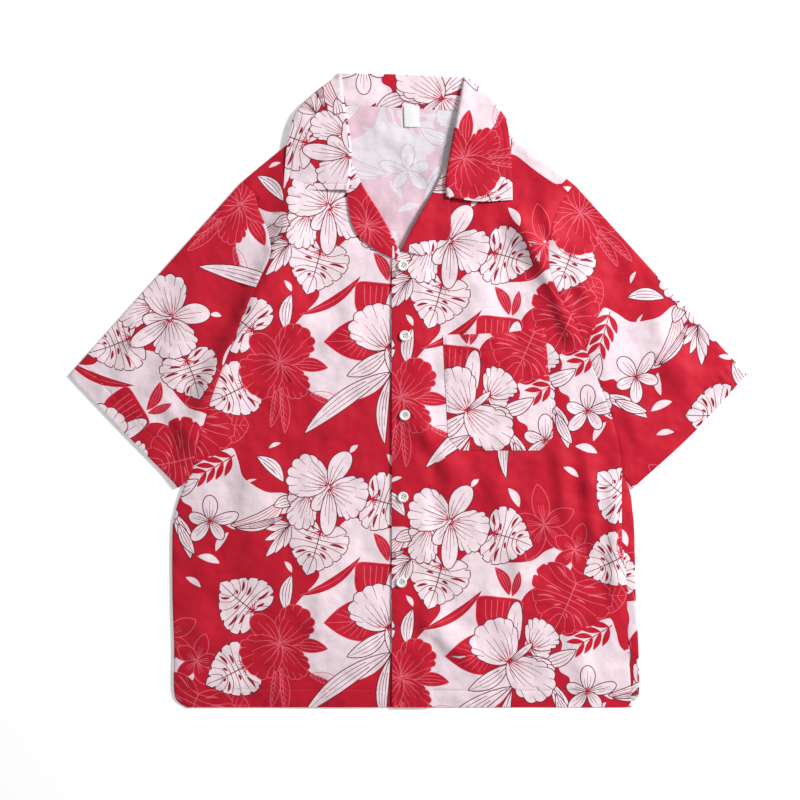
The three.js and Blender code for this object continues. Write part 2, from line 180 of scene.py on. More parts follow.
def inside(x, y, polygon):
    """Which points lie in a polygon, by the even-odd rule."""
    result = np.zeros(len(x), bool)
    x1, y1 = polygon[-1]
    for x2, y2 in polygon:
        if y1 != y2:
            crossing = ((y1 > y) != (y2 > y)) & (x < (x2 - x1) * (y - y1) / (y2 - y1) + x1)
            result ^= crossing
        x1, y1 = x2, y2
    return result


def creased(x, y):
    """The height of the soft creases, each of which dies out towards both of its ends."""
    total = 0.0
    for height, left, right, places in CREASES:
        line = curve(places, 12.0)
        run = np.concatenate([[0], np.cumsum(np.linalg.norm(np.diff(line, axis=0), axis=1))])
        nearest = np.full(np.shape(x), 1e9)
        aside, at = nearest, nearest
        for (x1, y1), (x2, y2), before in zip(line, line[1:], run):
            dx, dy = x2 - x1, y2 - y1
            t = ((x - x1) * dx + (y - y1) * dy) / (dx * dx + dy * dy)
            inner = np.clip(t, 0, 1)
            away = np.hypot(x - x1 - inner * dx, y - y1 - inner * dy)
            closer = away < nearest
            side = (x - x1) * dy - (y - y1) * dx
            nearest = np.where(closer, away, nearest)
            aside = np.where(closer, side / math.hypot(dx, dy), aside)
            at = np.where(closer, before + t * math.hypot(dx, dy), at)
        share = at / run[-1]
        width = np.where(aside < 0, left, right)
        begins = smooth((share + CREASE_RUN_ON) / CREASE_FADE)
        ends = smooth((1 + CREASE_RUN_ON - share) / CREASE_FADE)
        total = total + height * (begins * ends) * np.exp(-((aside / width) ** 2))
    return total


# A lie gives the height of the middle of a cloth at each place.

def back_lie(x, y):
    return REST + FALL_RISE * smooth((y - FALL_EDGE_Y) / FALL_SLOPE + 1)


def under_lie(x, y):
    hem_drop = HEM_DROP * (1 - smooth((y - HEM_Y) / HEM_DROP_LENGTH))
    return back_lie(x, y) + LAYER + np.maximum(creased(x, y), LOWEST_TROUGH) - hem_drop


def upper_lie(x, y):
    return under_lie(x, y) + LAYER * (1 - smooth((x - UNDER_EDGE - LAP_STEP) / LAP_SLOPE))


def sleeve_lie(x, y):
    return REST + LAYER + np.maximum(creased(x, y), LOWEST_TROUGH)


def level(height):
    """The lie of a flat cloth."""
    return lambda x, y: height + 0 * x


def raised(lie, by):
    """The lie of a cloth that follows another one evenly."""
    return lambda x, y: lie(x, y) + by


# Cloth shells

def linear(code):
    """A colour from sRGB hex to linear numbers."""
    values = [int(code[k:k + 2], 16) / 255 for k in (1, 3, 5)]
    return [v / 12.92 if v <= 0.04045 else ((v + 0.055) / 1.055) ** 2.4 for v in values] + [1.0]


def triangulate(points, edges):
    """Triangles over all the points, which keep the given edges and face up."""
    coords = [Vector(p) for p in points]
    verts, _, faces, *_ = delaunay_2d_cdt(coords, edges, [], 0, 1e-3, False)
    verts = np.array([tuple(v) for v in verts])
    faces = np.array([f for f in faces if len(f) == 3], int)
    a, b, c = (verts[faces[:, k]] for k in range(3))
    area = (b[:, 0] - a[:, 0]) * (c[:, 1] - a[:, 1]) - (b[:, 1] - a[:, 1]) * (c[:, 0] - a[:, 0])
    faces[area < 0] = faces[area < 0][:, ::-1]
    return verts, faces[np.abs(area) > 1e-7]


def ring_edges(start, count):
    return [(start + k, start + (k + 1) % count) for k in range(count)]


def staggered(low, high, step):
    """A grid of points with every second row shifted by half a step."""
    rows = np.arange(low[1] + step / 3, high[1], step * 0.87)
    columns = np.arange(low[0] + step / 4, high[0], step)
    shift = np.where(np.arange(len(rows)) % 2, step / 2, 0.0)
    x = columns[None, :] + shift[:, None]
    return np.column_stack([x.ravel(), np.repeat(rows, len(columns))])


GROOVE_ROWS = (-1.6, -0.7, 0, 0.7, 1.6)  # rows of points along a groove, from its middle
GROOVE_STEP = 2.2
EDGE_CLEAR = 0.7  # no point of a groove comes nearer to the edge


def filled(loop, art, step, grooves=()):
    """Triangles that fill a loop, with the outlines of the print as their edges. Close points go
    along each groove, so that it can dip."""
    grid = staggered(loop.min(0), loop.max(0), step)
    grid = grid[inside(grid[:, 0], grid[:, 1], loop)]
    closed = np.vstack([loop, loop[:1]])
    grid = grid[distance(grid[:, 0], grid[:, 1], closed) > step * 0.4]
    points = [loop]
    edges = ring_edges(0, len(loop))
    count = len(loop)
    for polygon, _ in art:
        points.append(polygon)
        edges += ring_edges(count, len(polygon))
        count += len(polygon)
    points.append(grid)
    for line in grooves:
        track = curve(line, GROOVE_STEP)
        ahead = np.gradient(track, axis=0)
        ahead /= np.linalg.norm(ahead, axis=1)[:, None]
        side = np.column_stack([-ahead[:, 1], ahead[:, 0]])
        for offset in GROOVE_ROWS:
            row = track + side * offset
            row = row[inside(row[:, 0], row[:, 1], loop)]
            points.append(row[distance(row[:, 0], row[:, 1], closed) > EDGE_CLEAR])
    verts, faces = triangulate(np.vstack(points), edges)
    middle = verts[faces].mean(axis=1)
    keep = inside(middle[:, 0], middle[:, 1], loop)
    return verts, faces[keep], middle[keep]


def painted(middle, art, base):
    """The dye of each face: the last shape of the print that its middle lies in."""
    order = np.argsort(middle[:, 0])
    x, y = middle[order, 0], middle[order, 1]
    names = np.full(len(middle), base, dtype=object)
    for polygon, dye in art:
        first, last = np.searchsorted(x, (polygon[:, 0].min(), polygon[:, 0].max()))
        low, high = polygon[:, 1].min(), polygon[:, 1].max()
        near = first + np.flatnonzero((y[first:last] > low) & (y[first:last] < high))
        names[near[inside(x[near], y[near], polygon)]] = dye
    result = np.empty_like(names)
    result[order] = names
    return result


def boundary(faces):
    """The vertices along the longest edge of a mesh in order, and the face at each of them."""
    owner = {}
    for k, (a, b, c) in enumerate(faces.tolist()):
        for edge in ((a, b), (b, c), (c, a)):
            owner[edge] = k
    ahead = {a: b for (a, b) in owner if (b, a) not in owner}
    best = []
    left = set(ahead)
    while left:
        start = min(left)
        loop = [start]
        left.discard(start)
        at = ahead[start]
        while at != start and at in left:
            loop.append(at)
            left.discard(at)
            at = ahead[at]
        if len(loop) > len(best):
            best = loop
    sides = [owner[(a, ahead[a])] for a in best]
    return np.array(best), np.array(sides)


OUTER = np.radians([45, 90, 135, 180])  # places round a rolled edge, outside and then inside
INNER = np.radians([180, 90])
ROLL_REACH = 2.4  # how far a rolled edge stands out at most


def rim(loop_xy, top, weight, fall, thick):
    """Rings from a shell's upper edge to its lower one. Where the weight is 1 the cloth rolls
    down to "fall" below, and where it is 0 it just ends."""
    following = np.roll(loop_xy, -1, 0) - np.roll(loop_xy, 1, 0)
    out = np.column_stack([following[:, 1], -following[:, 0]])
    out /= np.linalg.norm(out, axis=1)[:, None] + 1e-9
    radius = np.maximum((top - fall) / 2, thick)
    reach = np.minimum(radius, ROLL_REACH)
    rings = []
    count = len(OUTER) + len(INNER)
    for k in range(count):
        if k < len(OUTER):
            aside = reach * math.sin(OUTER[k])
            down = radius * (1 - math.cos(OUTER[k]))
        else:
            angle = INNER[k - len(OUTER)]
            aside = (reach - thick) * math.sin(angle)
            down = thick + (radius - thick) * (1 - math.cos(angle))
        plain = math.pi * (k + 1) / (count + 1)
        aside = weight * aside + (1 - weight) * thick / 2 * math.sin(plain)
        down = weight * down + (1 - weight) * thick / 2 * (1 - math.cos(plain))
        rings.append(np.column_stack([loop_xy + out * aside[:, None], top - down]))
    return rings


def shell(parts, lie, stamp=None, base="red", step=5.0, thick=CLOTH, fall=FLOOR_GAP, back="wrong",
          grooves=(), face_down=False):
    """A closed thin shell of cloth. Its outline is given in parts, each with its way of ending:
    "roll", "cut" or "seam". The stamp says where the print goes. Grooves are the lines along which
    stitches pull the cloth in. A rolled edge comes down to "fall". A cloth that lies face down has
    its print below, and the same print shines through faintly above."""
    curves = [(kind, curve(points)) for kind, points in parts]
    loop = np.vstack([line[:-1] for _, line in curves])
    art = stamped(loop, **stamp) if stamp else []
    verts, faces, middle = filled(loop, art, step, grooves)
    names = painted(middle, art, base)
    used = np.unique(faces)
    remap = np.full(len(verts), -1)
    remap[used] = np.arange(len(used))
    verts, faces = verts[used], remap[faces]
    edge, sides = boundary(faces)
    height = lie(verts[:, 0], verts[:, 1]) + thick / 2
    for line in grooves:
        away = distance(verts[:, 0], verts[:, 1], curve(line))
        height -= STITCH_DIP * np.exp(-(away / STITCH_DIP_WIDTH) ** 2)
    edge_xy, edge_top = verts[edge], height[edge]
    weight = np.zeros(len(edge))
    for kind, line in curves:
        away = distance(edge_xy[:, 0], edge_xy[:, 1], line)
        if kind == "roll":
            weight = np.maximum(weight, 1 - smooth(away / ROLL_WIDTH))
        elif kind == "seam":
            edge_top = edge_top - SEAM_DIP * np.exp(-(away / SEAM_DIP_WIDTH) ** 2)
    height[edge] = edge_top
    floor = fall(edge_xy[:, 0], edge_xy[:, 1]) if callable(fall) else fall
    rings = rim(edge_xy, edge_top, weight, floor, thick)
    if face_down:
        low_xy, low_faces, low_names, ends = verts, faces, names, edge
        names = np.array([FAINT.get(name, "wrong line") for name in names], dtype=object)
    else:
        low_xy, low_faces, _ = filled(edge_xy, (), step * 1.5)
        low_names = np.full(len(low_faces), back, dtype=object)
        ends = np.linalg.norm(low_xy[None, :, :] - edge_xy[:, None, :], axis=2).argmin(1)
    low_z = lie(low_xy[:, 0], low_xy[:, 1]) - thick / 2
    all_verts = [np.column_stack([verts, height])] + rings + [np.column_stack([low_xy, low_z])]
    all_faces = [faces]
    all_dyes = [names]
    count = len(edge)
    previous = edge
    start = len(verts)
    for k in range(len(rings) + 1):
        if k < len(rings):
            current = start + np.arange(count)
            start += count
        else:
            current = start + ends
        a, b = previous, np.roll(previous, -1)
        c, d = np.roll(current, -1), current
        all_faces += [np.column_stack([b, a, d]), np.column_stack([b, d, c])]
        dye = names[sides] if k < len(OUTER) else np.full(count, back, dtype=object)
        all_dyes += [dye, dye]
        previous = current
    all_faces.append(start + low_faces[:, ::-1])
    all_dyes.append(low_names)
    return np.vstack(all_verts), np.vstack(all_faces), np.concatenate(all_dyes)


STITCH = {"pitch": 2.9, "length": 2.1, "width": 0.5}
STITCH_RISE = (0.05, 0.15, 0.42, 0.15, -0.1, 0.05)  # tail, four places round the middle, head


def stitches(line, lie):
    """A row of stitches on the cloth along a line, as small closed spindles."""
    track = curve(line, 1.0)
    steps = np.linalg.norm(np.diff(track, axis=0), axis=1)
    run = np.concatenate([[0], np.cumsum(steps)])
    places = np.arange(STITCH["pitch"] / 2, run[-1] - STITCH["length"], STITCH["pitch"])
    verts, faces = [], []
    for at in places:
        ends = [np.array([np.interp(at + d, run, track[:, 0]), np.interp(at + d, run, track[:, 1])])
                for d in (0, STITCH["length"])]
        ahead = (ends[1] - ends[0]) / STITCH["length"]
        side = np.array([-ahead[1], ahead[0]]) * STITCH["width"] / 2
        middle = (ends[0] + ends[1]) / 2
        ring = [ends[0], middle + side, middle, middle - side, middle, ends[1]]
        high = float(lie(middle[0], middle[1])) + CLOTH / 2 - STITCH_DIP
        start = len(verts)
        verts += [(p[0], p[1], high + up) for p, up in zip(ring, STITCH_RISE)]
        for k in range(4):
            a, b = start + 1 + k, start + 1 + (k + 1) % 4
            faces += [(start, b, a), (start + 5, a, b)]
    return np.array(verts), np.array(faces), np.full(len(faces), "thread", dtype=object)


def cloth_piece(name, shells, material):
    """One object of several shells, with their dyes as a colour attribute."""
    start = 0
    verts, faces, dyes = [], [], []
    for part_verts, part_faces, part_dyes in shells:
        verts.append(part_verts)
        faces.append(part_faces + start)
        dyes.append(part_dyes)
        start += len(part_verts)
    mesh = bpy.data.meshes.new(name)
    mesh.from_pydata((np.vstack(verts) * MM).tolist(), [], np.vstack(faces).tolist())
    names = np.concatenate(dyes)
    table = {dye: linear(DYES[dye]) for dye in set(names)}
    colours = np.array([table[dye] for dye in names])
    layer = mesh.color_attributes.new("dye", "FLOAT_COLOR", "CORNER")
    layer.data.foreach_set("color", np.repeat(colours, 3, axis=0).ravel())
    mesh.shade_smooth()
    mesh.materials.append(material)
    piece = bpy.data.objects.new(name + "_cloth", mesh)
    bpy.context.collection.objects.link(piece)
    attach(piece, "root")
    return piece


# Print: flowers and leaves in one repeat, stamped over every piece. A row's places are counted
# from the big white flower's centre in pixels of the photograph, +X right and +Y down.

REPEAT_DOWN = 280  # pixels from a flower to the same one below it
REPEAT_ACROSS = (256, 136)  # and to the same one in the next column, about half a repeat lower
OUTLINE = 1.15  # width of the dark line round a white motif
VEIN = 0.8  # width of the finer lines

# The blocks of white ground, as smooth loops
GROUNDS = [
    [(22, 30), (41, 40), (77, 40), (95, 29), (112, 26), (120, 44), (110, 56), (97, 62), (81, 67),
     (70, 78), (64, 100), (66, 140), (60, 165), (45, 184), (20, 195), (6, 197), (-8, 190),
     (-21, 184), (-37, 166), (-45, 150), (-42, 128), (-31, 112), (-12, 90), (-14, 70), (4, 44)],
    [(-154, -27), (-141, -21), (-130, -25), (-117, -33), (-104, -38), (-97, -38), (-92, -25),
     (-88, -11), (-77, -2), (-63, 5), (-44, 7), (-40, 24), (-74, 29), (-90, 34), (-96, 42),
     (-112, 34), (-121, 38), (-137, 31), (-139, 20), (-148, 14), (-150, 2), (-146, -14)],
]

MOTIFS = [
    # kind, from x, from y, to x, to y, width
    ("line plumeria", 92, 4, 85, -37, 17),
    ("line plumeria", 123, 29, 131, 2, 14),
    ("line leaf", 136, 78, 174, 74, 36),
    ("red monstera", 124, 62, 99, 115, 84),
    ("red leaf", -39, 158, -3, 161, 14),
    ("line leaf", -21, 187, 12, 198, 11),
    ("line leaf", -50, 178, -46, 226, 9),
    ("line leaf", -54, 178, -60, 220, 9),
    ("red leaf", 43, 46, 57, 74, 11),
    ("red leaf", 67, 50, 60, 75, 8),
    ("red blade", -31, 108, 30, 69, 9),
    ("red fan", 44, 122, 48, 76, 46),
    ("red heart", 38, 132, -7, 135, 42),
    ("red frond", -96, -32, -134, -10, 24),
    ("monstera", -77, 124, -111, 95, 62),
    ("monstera", -84, 178, -125, 197, 56),
    ("monstera", 41, 12, 81, 25, 60),
    ("monstera", -10, 43, -24, 88, 62),
    ("frond", -40, 36, -66, 63, 40),
    ("grass", -46, 12, -100, 38, 17),
    ("leaf", -44, 28, -96, 40, 6),
    ("leaf", -39, 87, -44, 125, 13),
    ("sliver", -46, 74, -39, 85, 5),
    ("leaf", -74, -31, -47, -5, 13),
    ("sliver", -62, -39, -50, -44, 4),
    ("sliver", 56, -33, 67, -14, 8),
    ("sliver", 19, -34, 27, -42, 5),
    ("sliver", -88, -2, -74, -8, 3),
    ("leaf", 59, 165, -27, 227, 17),
    ("leaf", 60, 169, 54, 238, 12),
    ("leaf", 97, 160, 116, 208, 14),
    ("leaf", 57, 143, 16, 169, 16),
    ("leaf", 86, 142, 124, 128, 15),
    ("leaf", -152, 36, -136, 67, 11),
    ("sliver", -133, 69, -111, 76, 8),
    ("sliver", -145, 90, -130, 100, 6),
    ("sliver", -115, 64, -102, 45, 7),
    ("red ruffled petal", -52, 156, -24, 122, 38),
    ("red petal", -52, 156, -79, 129, 22),
    ("red ruffled petal", -50, 158, -27, 189, 28),
    ("red ruffled petal", -51, 156, -86, 179, 46),
    ("disc", 74, 128, 88, 118, 16),
    ("ruffled petal", 78, 126, 98, 132, 20),
    ("ruffled petal", 79, 126, 98, 103, 38),
    ("petal", 62, 134, 65, 80, 16),
    ("ruffled petal", 57, 140, 102, 150, 22),
    ("ruffled petal", 57, 141, 31, 102, 50),
    ("ruffled petal", 56, 140, 99, 173, 42),
    ("petal", 56, 141, 80, 122, 7),
    ("petal", -121, 34, -121, 8, 15),
    ("petal", -121, 34, -142, 28, 12),
    ("petal", -121, 34, -92, 27, 12),
    ("petal", -121, 34, -139, 53, 13),
    ("petal", -121, 34, -108, 52, 12),
    ("disc", -30, 10, -12, 12, 16),
    ("leaf", -34, 13, -57, 19, 12),
    ("ruffled petal", -22, 9, -43, 12, 20),
    ("ruffled petal", -22, 8, -34, 41, 30),
    ("petal", -2, 0, -18, 23, 15),
    ("disc", -8, -2, 6, 6, 14),
    ("ruffled petal", -3, -2, -42, -18, 44),
    ("petal", -1, -1, 18, -35, 21),
    ("ruffled petal", -1, 1, 35, 17, 44),
    ("petal", -2, 2, -4, 48, 17),
]

# Colours of the print and the thread, of what shows of them on the wrong side of the cloth, and of
# the label's tape and the buttons
DYES = {
    "red": "#C0102C",
    "deep": "#9A0E2C",
    "pink line": "#E06274",
    "white": "#ECD8E0",
    "petal": "#F0DBE2",
    "dark line": "#6E1A30",
    "thread": "#B4455A",
    "wrong": "#DCD1D9",
    "wrong red": "#DFC0CC",
    "wrong white": "#E0D9DF",
    "wrong line": "#CDBAC6",
    "tape": "#F1EFEF",
    "resin": "#F3F1EF",
}
FAINT = {"red": "wrong red", "white": "wrong white", "petal": "wrong white"}


def along(points, start, end):
    """Moves points from a motif's own axis to the line between two places."""
    dx, dy = end[0] - start[0], end[1] - start[1]
    length = math.hypot(dx, dy)
    c, s = dx / length, dy / length
    points = np.asarray(points, float)
    return np.column_stack([
        start[0] + points[:, 0] * c - points[:, 1] * s,
        start[1] + points[:, 0] * s + points[:, 1] * c,
    ])


def stroke(line, first, last, dye):
    """A line as a narrow closed shape, whose width goes from the first value to the last."""
    line = np.asarray(line, float)
    ahead = np.gradient(line, axis=0)
    ahead /= np.linalg.norm(ahead, axis=1)[:, None] + 1e-9
    side = np.column_stack([-ahead[:, 1], ahead[:, 0]])
    width = np.linspace(first, last, len(line))[:, None] / 2
    return np.vstack([line + side * width, (line - side * width)[::-1]]), dye


def contour(shape, width, dye):
    """The line round a closed shape, in two halves so that each is a simple polygon."""
    half = len(shape) // 2
    closed = np.vstack([shape, shape[:1]])
    return [stroke(closed[:half + 1], width, width, dye), stroke(closed[half:], width, width, dye)]


def petal_half(x, length, width, widest, fullness):
    """Half of a petal's width at a place along it."""
    t = np.clip(x / length, 0.0, 1.0)
    rising = np.sin(math.pi / 2 * np.minimum(1, t / widest)) ** fullness
    falling = np.sqrt(np.clip(1 - ((t - widest) / (1 - widest)) ** 2, 0, 1))
    return width / 2 * np.where(t < widest, rising, falling)


def inks(red):
    """The dyes of a motif's ground and of its lines."""
    return ("red", "pink line") if red else ("petal", "dark line")


# Each motif below lies along +X from its root at 0. The number of its row in the table varies it.

def petal(length, width, red, number):
    """A smooth petal with three veins."""
    fill, line = inks(red)
    angle = np.arange(30) / 30 * 2 * math.pi
    x = length * (0.5 - 0.5 * np.cos(angle))
    bow = 0.05 * math.sin(number * 2.3)
    y = np.sign(np.sin(angle)) * petal_half(x, length, width, 0.6, 0.75)
    shape = np.column_stack([x, y + bow * length * 4 * (x / length) * (1 - x / length)])
    art = [(shape, fill)] + contour(shape, VEIN if red else OUTLINE, line)
    for v, reach in ((-0.4, 0.6), (0.05, 0.78), (0.5, 0.5)):
        t = np.linspace(0.1, reach, 7)
        y = v * petal_half(t * length, length, width, 0.6, 0.75) + bow * length * 4 * t * (1 - t)
        art.append(stroke(np.column_stack([t * length, y]), VEIN, 0.45, line))
    if not red:
        art.append(stroke([(0, 0), (length * 0.22, -width * 0.08)], 1.3, 0.4, "red"))
        art.append(stroke([(0, 0), (length * 0.17, width * 0.09)], 1.2, 0.4, "red"))
    return art


def ruffled_petal(length, width, red, number):
    """A petal with a scalloped rim, a short line in from each notch and streaks in its throat."""
    fill, line = inks(red)
    count = 104
    lobes = 6.5 if width > 30 else 5.5
    angle = (np.arange(count) + 0.5) / count * 2 * math.pi
    x = length * (0.5 - 0.5 * np.cos(angle))
    shape = np.column_stack([x, np.sign(np.sin(angle)) * petal_half(x, length, width, 0.64, 0.5)])
    middle = np.array([length * 0.5, 0.0])
    ruffle = np.abs(np.sin((angle + 0.06 * np.sin(3 * angle + number)) * lobes + number))
    open_rim = smooth((x / length - 0.22) / 0.25)
    depth = 0.12 * (0.85 + 0.4 * np.sin(2 * angle + number * 1.7))
    shape = shape + (shape - middle) * ((ruffle ** 0.8 - 0.72) * open_rim * depth)[:, None]
    art = [(shape, fill)] + contour(shape, VEIN if red else OUTLINE, line)
    lower = (ruffle < np.roll(ruffle, 1)) & (ruffle < np.roll(ruffle, -1)) & (x > length * 0.45)
    for k, notch in enumerate(np.flatnonzero(lower)):
        inward = shape[notch] * (0.88 - 0.1 * ((k + number) % 3))
        art.append(stroke([shape[notch], inward * (1, 0.97)], VEIN, 0.45, line))
    for k, v in enumerate(np.linspace(-0.78, 0.78, 5 if red else 7)):
        reach = 0.72 - 0.16 * abs(v) - 0.10 * ((k * 2 + number) % 3)
        t = np.linspace(0.10, reach, 8)
        y = v * (0.75 + 0.3 * t) * petal_half(t * length, length, width, 0.64, 0.62)
        art.append(stroke(np.column_stack([t * length, y]), VEIN, 0.45, line))
    for k, v in enumerate((-0.62, -0.3, 0.02, 0.34, 0.66)):
        t = np.linspace(0.02, 0.2 + 0.09 * ((k + number) % 2), 4)
        y = v * petal_half(t * length, length, width, 0.64, 0.9)
        art.append(stroke(np.column_stack([t * length, y]), 1.2, 0.4, line if red else "red"))
    return art


def lens(length, width, bend, fullness=0.8):
    """A leaf with two pointed ends whose axis bows to one side."""
    t = np.linspace(0, 1, 14)
    half = width / 2 * np.sin(math.pi * t) ** fullness
    middle = bend * length * 4 * t * (1 - t)
    upper = np.column_stack([t * length, middle + half])
    lower = np.column_stack([t * length, middle - half])
    return np.vstack([upper, lower[-2:0:-1]])


def leaf(length, width, red, number):
    """A plain narrow leaf with three lines along it."""
    fill, line = inks(red)
    bend = 0.10 * math.sin(number * 1.7)
    shape = lens(length, width, bend)
    art = [(shape, fill)] + contour(shape, VEIN if red else OUTLINE, line)
    t = np.linspace(0.04, 0.93, 10)
    for v in (-0.5, 0.0, 0.5):
        s = t if abs(v) < 0.1 else t[2:-2]
        y = bend * length * 4 * s * (1 - s) + v * width / 2 * np.sin(math.pi * s)
        art.append(stroke(np.column_stack([s * length, y]), 0.9, 0.5, line))
    return art


def line_leaf(length, width):
    """A leaf that is only drawn in light lines on the red."""
    shape = lens(length, width, 0.05, 0.7)
    art = contour(shape, VEIN, "pink line")
    midrib = [(0, 0), (length * 0.5, width * 0.06), (length * 0.95, 0)]
    art.append(stroke(midrib, VEIN, 0.5, "pink line"))
    for t in np.arange(0.15, 0.85, 0.12):
        for side in (-1, 1):
            half = side * width * 0.42 * math.sin(math.pi * min(1, t + 0.12)) ** 0.7
            rib = [(t * length, 0), ((t + 0.08) * length, half * 0.55), ((t + 0.13) * length, half)]
            art.append(stroke(rib, 0.7, 0.4, "pink line"))
    return art


# One side of a heart-shaped leaf, as shares of its length and its width
HEART = [(0, 0), (-0.15, 0.12), (-0.19, 0.29), (-0.08, 0.44), (0.14, 0.5), (0.38, 0.46),
         (0.62, 0.34), (0.83, 0.17), (1, 0)]


def heart_side(length, width, step):
    return curve([(x * length, y * width) for x, y in HEART], step)


def heart(length, width):
    """A red heart-shaped leaf with light veins."""
    side = heart_side(length, width, 4.0)
    shape = np.vstack([side, (side * (1, -1))[-2:0:-1]])
    art = [(shape, "red")] + contour(shape, VEIN, "pink line")
    art.append(stroke([(0, 0), (length * 0.5, 0.8), (length * 0.94, 0)], 1.1, 0.5, "pink line"))
    for k, t in enumerate((0.05, 0.18, 0.32, 0.46, 0.6)):
        for turn in (-1, 1):
            reach = width * (0.40, 0.42, 0.36, 0.28, 0.2)[k] * turn
            rib = curve([(t * length * 0.5, 0), ((t * 0.8 + 0.02) * length, reach * 0.55),
                         ((t + 0.12) * length, reach)], 6.0)
            art.append(stroke(rib, 0.9, 0.45, "pink line"))
    return art


SLOTS = ((0.22, 1.05), (-0.12, 0.3), (0.05, 0.7))  # shares of the way out to the edge
RIBS = (0.20, 0.33, 0.45, 0.57, 0.69, 0.80, 0.90)  # where ribs reach the edge, from the base


def monstera(length, width, red, number):
    """A broad leaf whose curved ribs end at notches in its edge, with slots between the ribs."""
    fill, line = inks(red)
    side = heart_side(length, width, 1.6)
    t = np.linspace(0, 1, len(side))
    notches = sum((0.7 + 0.5 * ((k + number) % 3)) * np.exp(-((t - at) / 0.011) ** 2)
                  for k, at in enumerate(RIBS[1:]))
    middle = np.array([length * 0.35, 0.0])
    side = side + (middle - side) * (0.09 * notches)[:, None]
    shape = np.vstack([side, (side * (1, -1))[-2:0:-1]])
    art = [(shape, fill)] + contour(shape, VEIN if red else OUTLINE, line)
    art.append(stroke(curve([(0, 0), (length * 0.5, 1.2), (length * 0.96, 0)], 6), 1.4, 0.7, line))
    for turn in (-1, 1):
        previous = None
        for k, at in enumerate(RIBS):
            end = side[int(at * (len(side) - 1))] * (0.97, 0.95 * turn)
            start = (length * (0.01 + 0.095 * k), 0.0)
            bend = (start[0] * 0.8 + end[0] * 0.2, end[1] * 0.55)
            art.append(stroke(curve([start, bend, end], 4.0), 0.95, 0.6, line))
            if previous is not None and (k + number + turn) % 4:
                root = np.mean([start, bend, previous[0], previous[1]], axis=0)
                edge = np.mean([end, previous[2]], axis=0)
                first, last = SLOTS[(k + number + turn) % len(SLOTS)]
                ends = (root + (edge - root) * first, root + (edge - root) * last)
                hole = lens(math.dist(*ends), 2.0 if red else 3.2, 0.08 * turn, 0.7)
                art.append((along(hole, *ends), line if red else "deep"))
            previous = (start, bend, end)
    if not red:
        for v in (-0.6, -0.35, -0.12, 0.15, 0.4, 0.65):
            tip = (length * (0.2 - 0.1 * abs(v)), v * width * 0.26)
            art.append(stroke([(0, 0), tip], 1.5, 0.5, "red"))
    return art


def fan(length, width):
    """A red leaf that widens from its stalk to a blunt end, with ribs along it."""
    shape = curve([(0, 0), (length * 0.35, width * 0.42), (length * 0.75, width * 0.5),
                   (length * 0.98, width * 0.44), (length, 0), (length * 0.97, -width * 0.44),
                   (length * 0.75, -width * 0.5), (length * 0.35, -width * 0.42)], 5, closed=True)
    art = [(shape, "red")] + contour(shape, VEIN, "pink line")
    for v in (-0.8, -0.5, -0.2, 0.1, 0.4, 0.7):
        rib = curve([(0, 0), (length * 0.5, v * width * 0.36), (length * 0.93, v * width * 0.44)], 8)
        art.append(stroke(rib, 0.8, 0.9, "pink line"))
    return art


LEAFLETS = [
    # root along the stalk, turn in degrees, length, width
    (0.02, -58, 0.62, 0.16), (0.06, -38, 0.66, 0.17), (0.14, -16, 0.70, 0.19),
    (0.24, 9, 0.88, 0.22), (0.14, 19, 0.78, 0.18), (0.03, 30, 0.66, 0.17),
]


def frond(length, width):
    """White leaflets that fan out from one stalk, all sized by its length."""
    art = [stroke([(-length * 0.1, 0), (length * 0.3, 0)], 1.2, 0.7, "dark line")]
    for root, turn, long, wide in LEAFLETS:
        angle = math.radians(turn)
        start = (root * length, 0.0)
        end = (start[0] + long * length * math.cos(angle), long * length * math.sin(angle))
        shape = along(lens(long * length, wide * length, 0.05), start, end)
        art.append((shape, "petal"))
        art += contour(shape, 0.9, "dark line")
        inner_end = np.array(start) * 0.3 + np.array(end) * 0.7
        art.append(stroke([start, inner_end], 0.9, 0.4, "dark line"))
    return art


def red_frond(length, width):
    """Narrow red leaflets on both sides of a stalk."""
    art = [stroke([(0, 0), (length * 0.5, 0.6), (length * 0.9, 0)], 1.4, 0.7, "red")]
    for k in range(4):
        for turn in (-1, 1):
            root = (length * (0.08 + 0.22 * k), 0.0)
            tip = (root[0] + length * 0.36, turn * width * (0.55 - 0.06 * k))
            long = math.dist(root, tip)
            art.append((along(lens(long, long * 0.30, 0.04 * turn), root, tip), "red"))
    return art


def grass(length, width):
    """A long curved leaf with close lines along it."""
    bend = 0.16
    shape = lens(length, width, bend, 0.6)
    art = [(shape, "petal")] + contour(shape, OUTLINE, "dark line")
    t = np.linspace(0.03, 0.95, 12)
    for v in (-0.7, -0.35, 0.0, 0.35):
        y = bend * length * 4 * t * (1 - t) + v * width / 2 * np.sin(math.pi * t) ** 0.6
        art.append(stroke(np.column_stack([t * length, y]), 0.8, 0.6, "red"))
    return art


def plumeria_lines(length, width):
    """Five drawn petals round one place, the first along the axis."""
    art = []
    for k, share in enumerate((1.0, 0.85, 0.95, 0.9, 0.8)):
        angle = math.radians(72 * k)
        size = length * share
        shape = lens(size, width * (1 + 0.1 * (k % 2)), 0.0, 0.75)
        tip = (math.cos(angle), math.sin(angle))
        placed = along(shape, (0, 0), tip)
        art.append((placed, "red"))
        art += contour(placed, VEIN, "pink line")
        for v in (-0.25, 0.0, 0.25):
            rib = [(size * 0.03, 0), (size * 0.3, v * width * 0.5), (size * 0.5, v * width * 0.6)]
            art.append(stroke(along(rib, (0, 0), tip), 0.9, 0.4, "pink line"))
    return art


def blade(length, width):
    """A narrow red leaf with one line along it."""
    middle = [(0, 0), (length * 0.5, -length * 0.09), (length * 0.9, -length * 0.03)]
    return [(lens(length, width, -0.09), "red"), stroke(curve(middle, 6), 0.8, 0.4, "pink line")]


def disc(length, width):
    """The plain white middle of a flower."""
    return [(lens(length, width, 0.0, 0.5), "petal")]


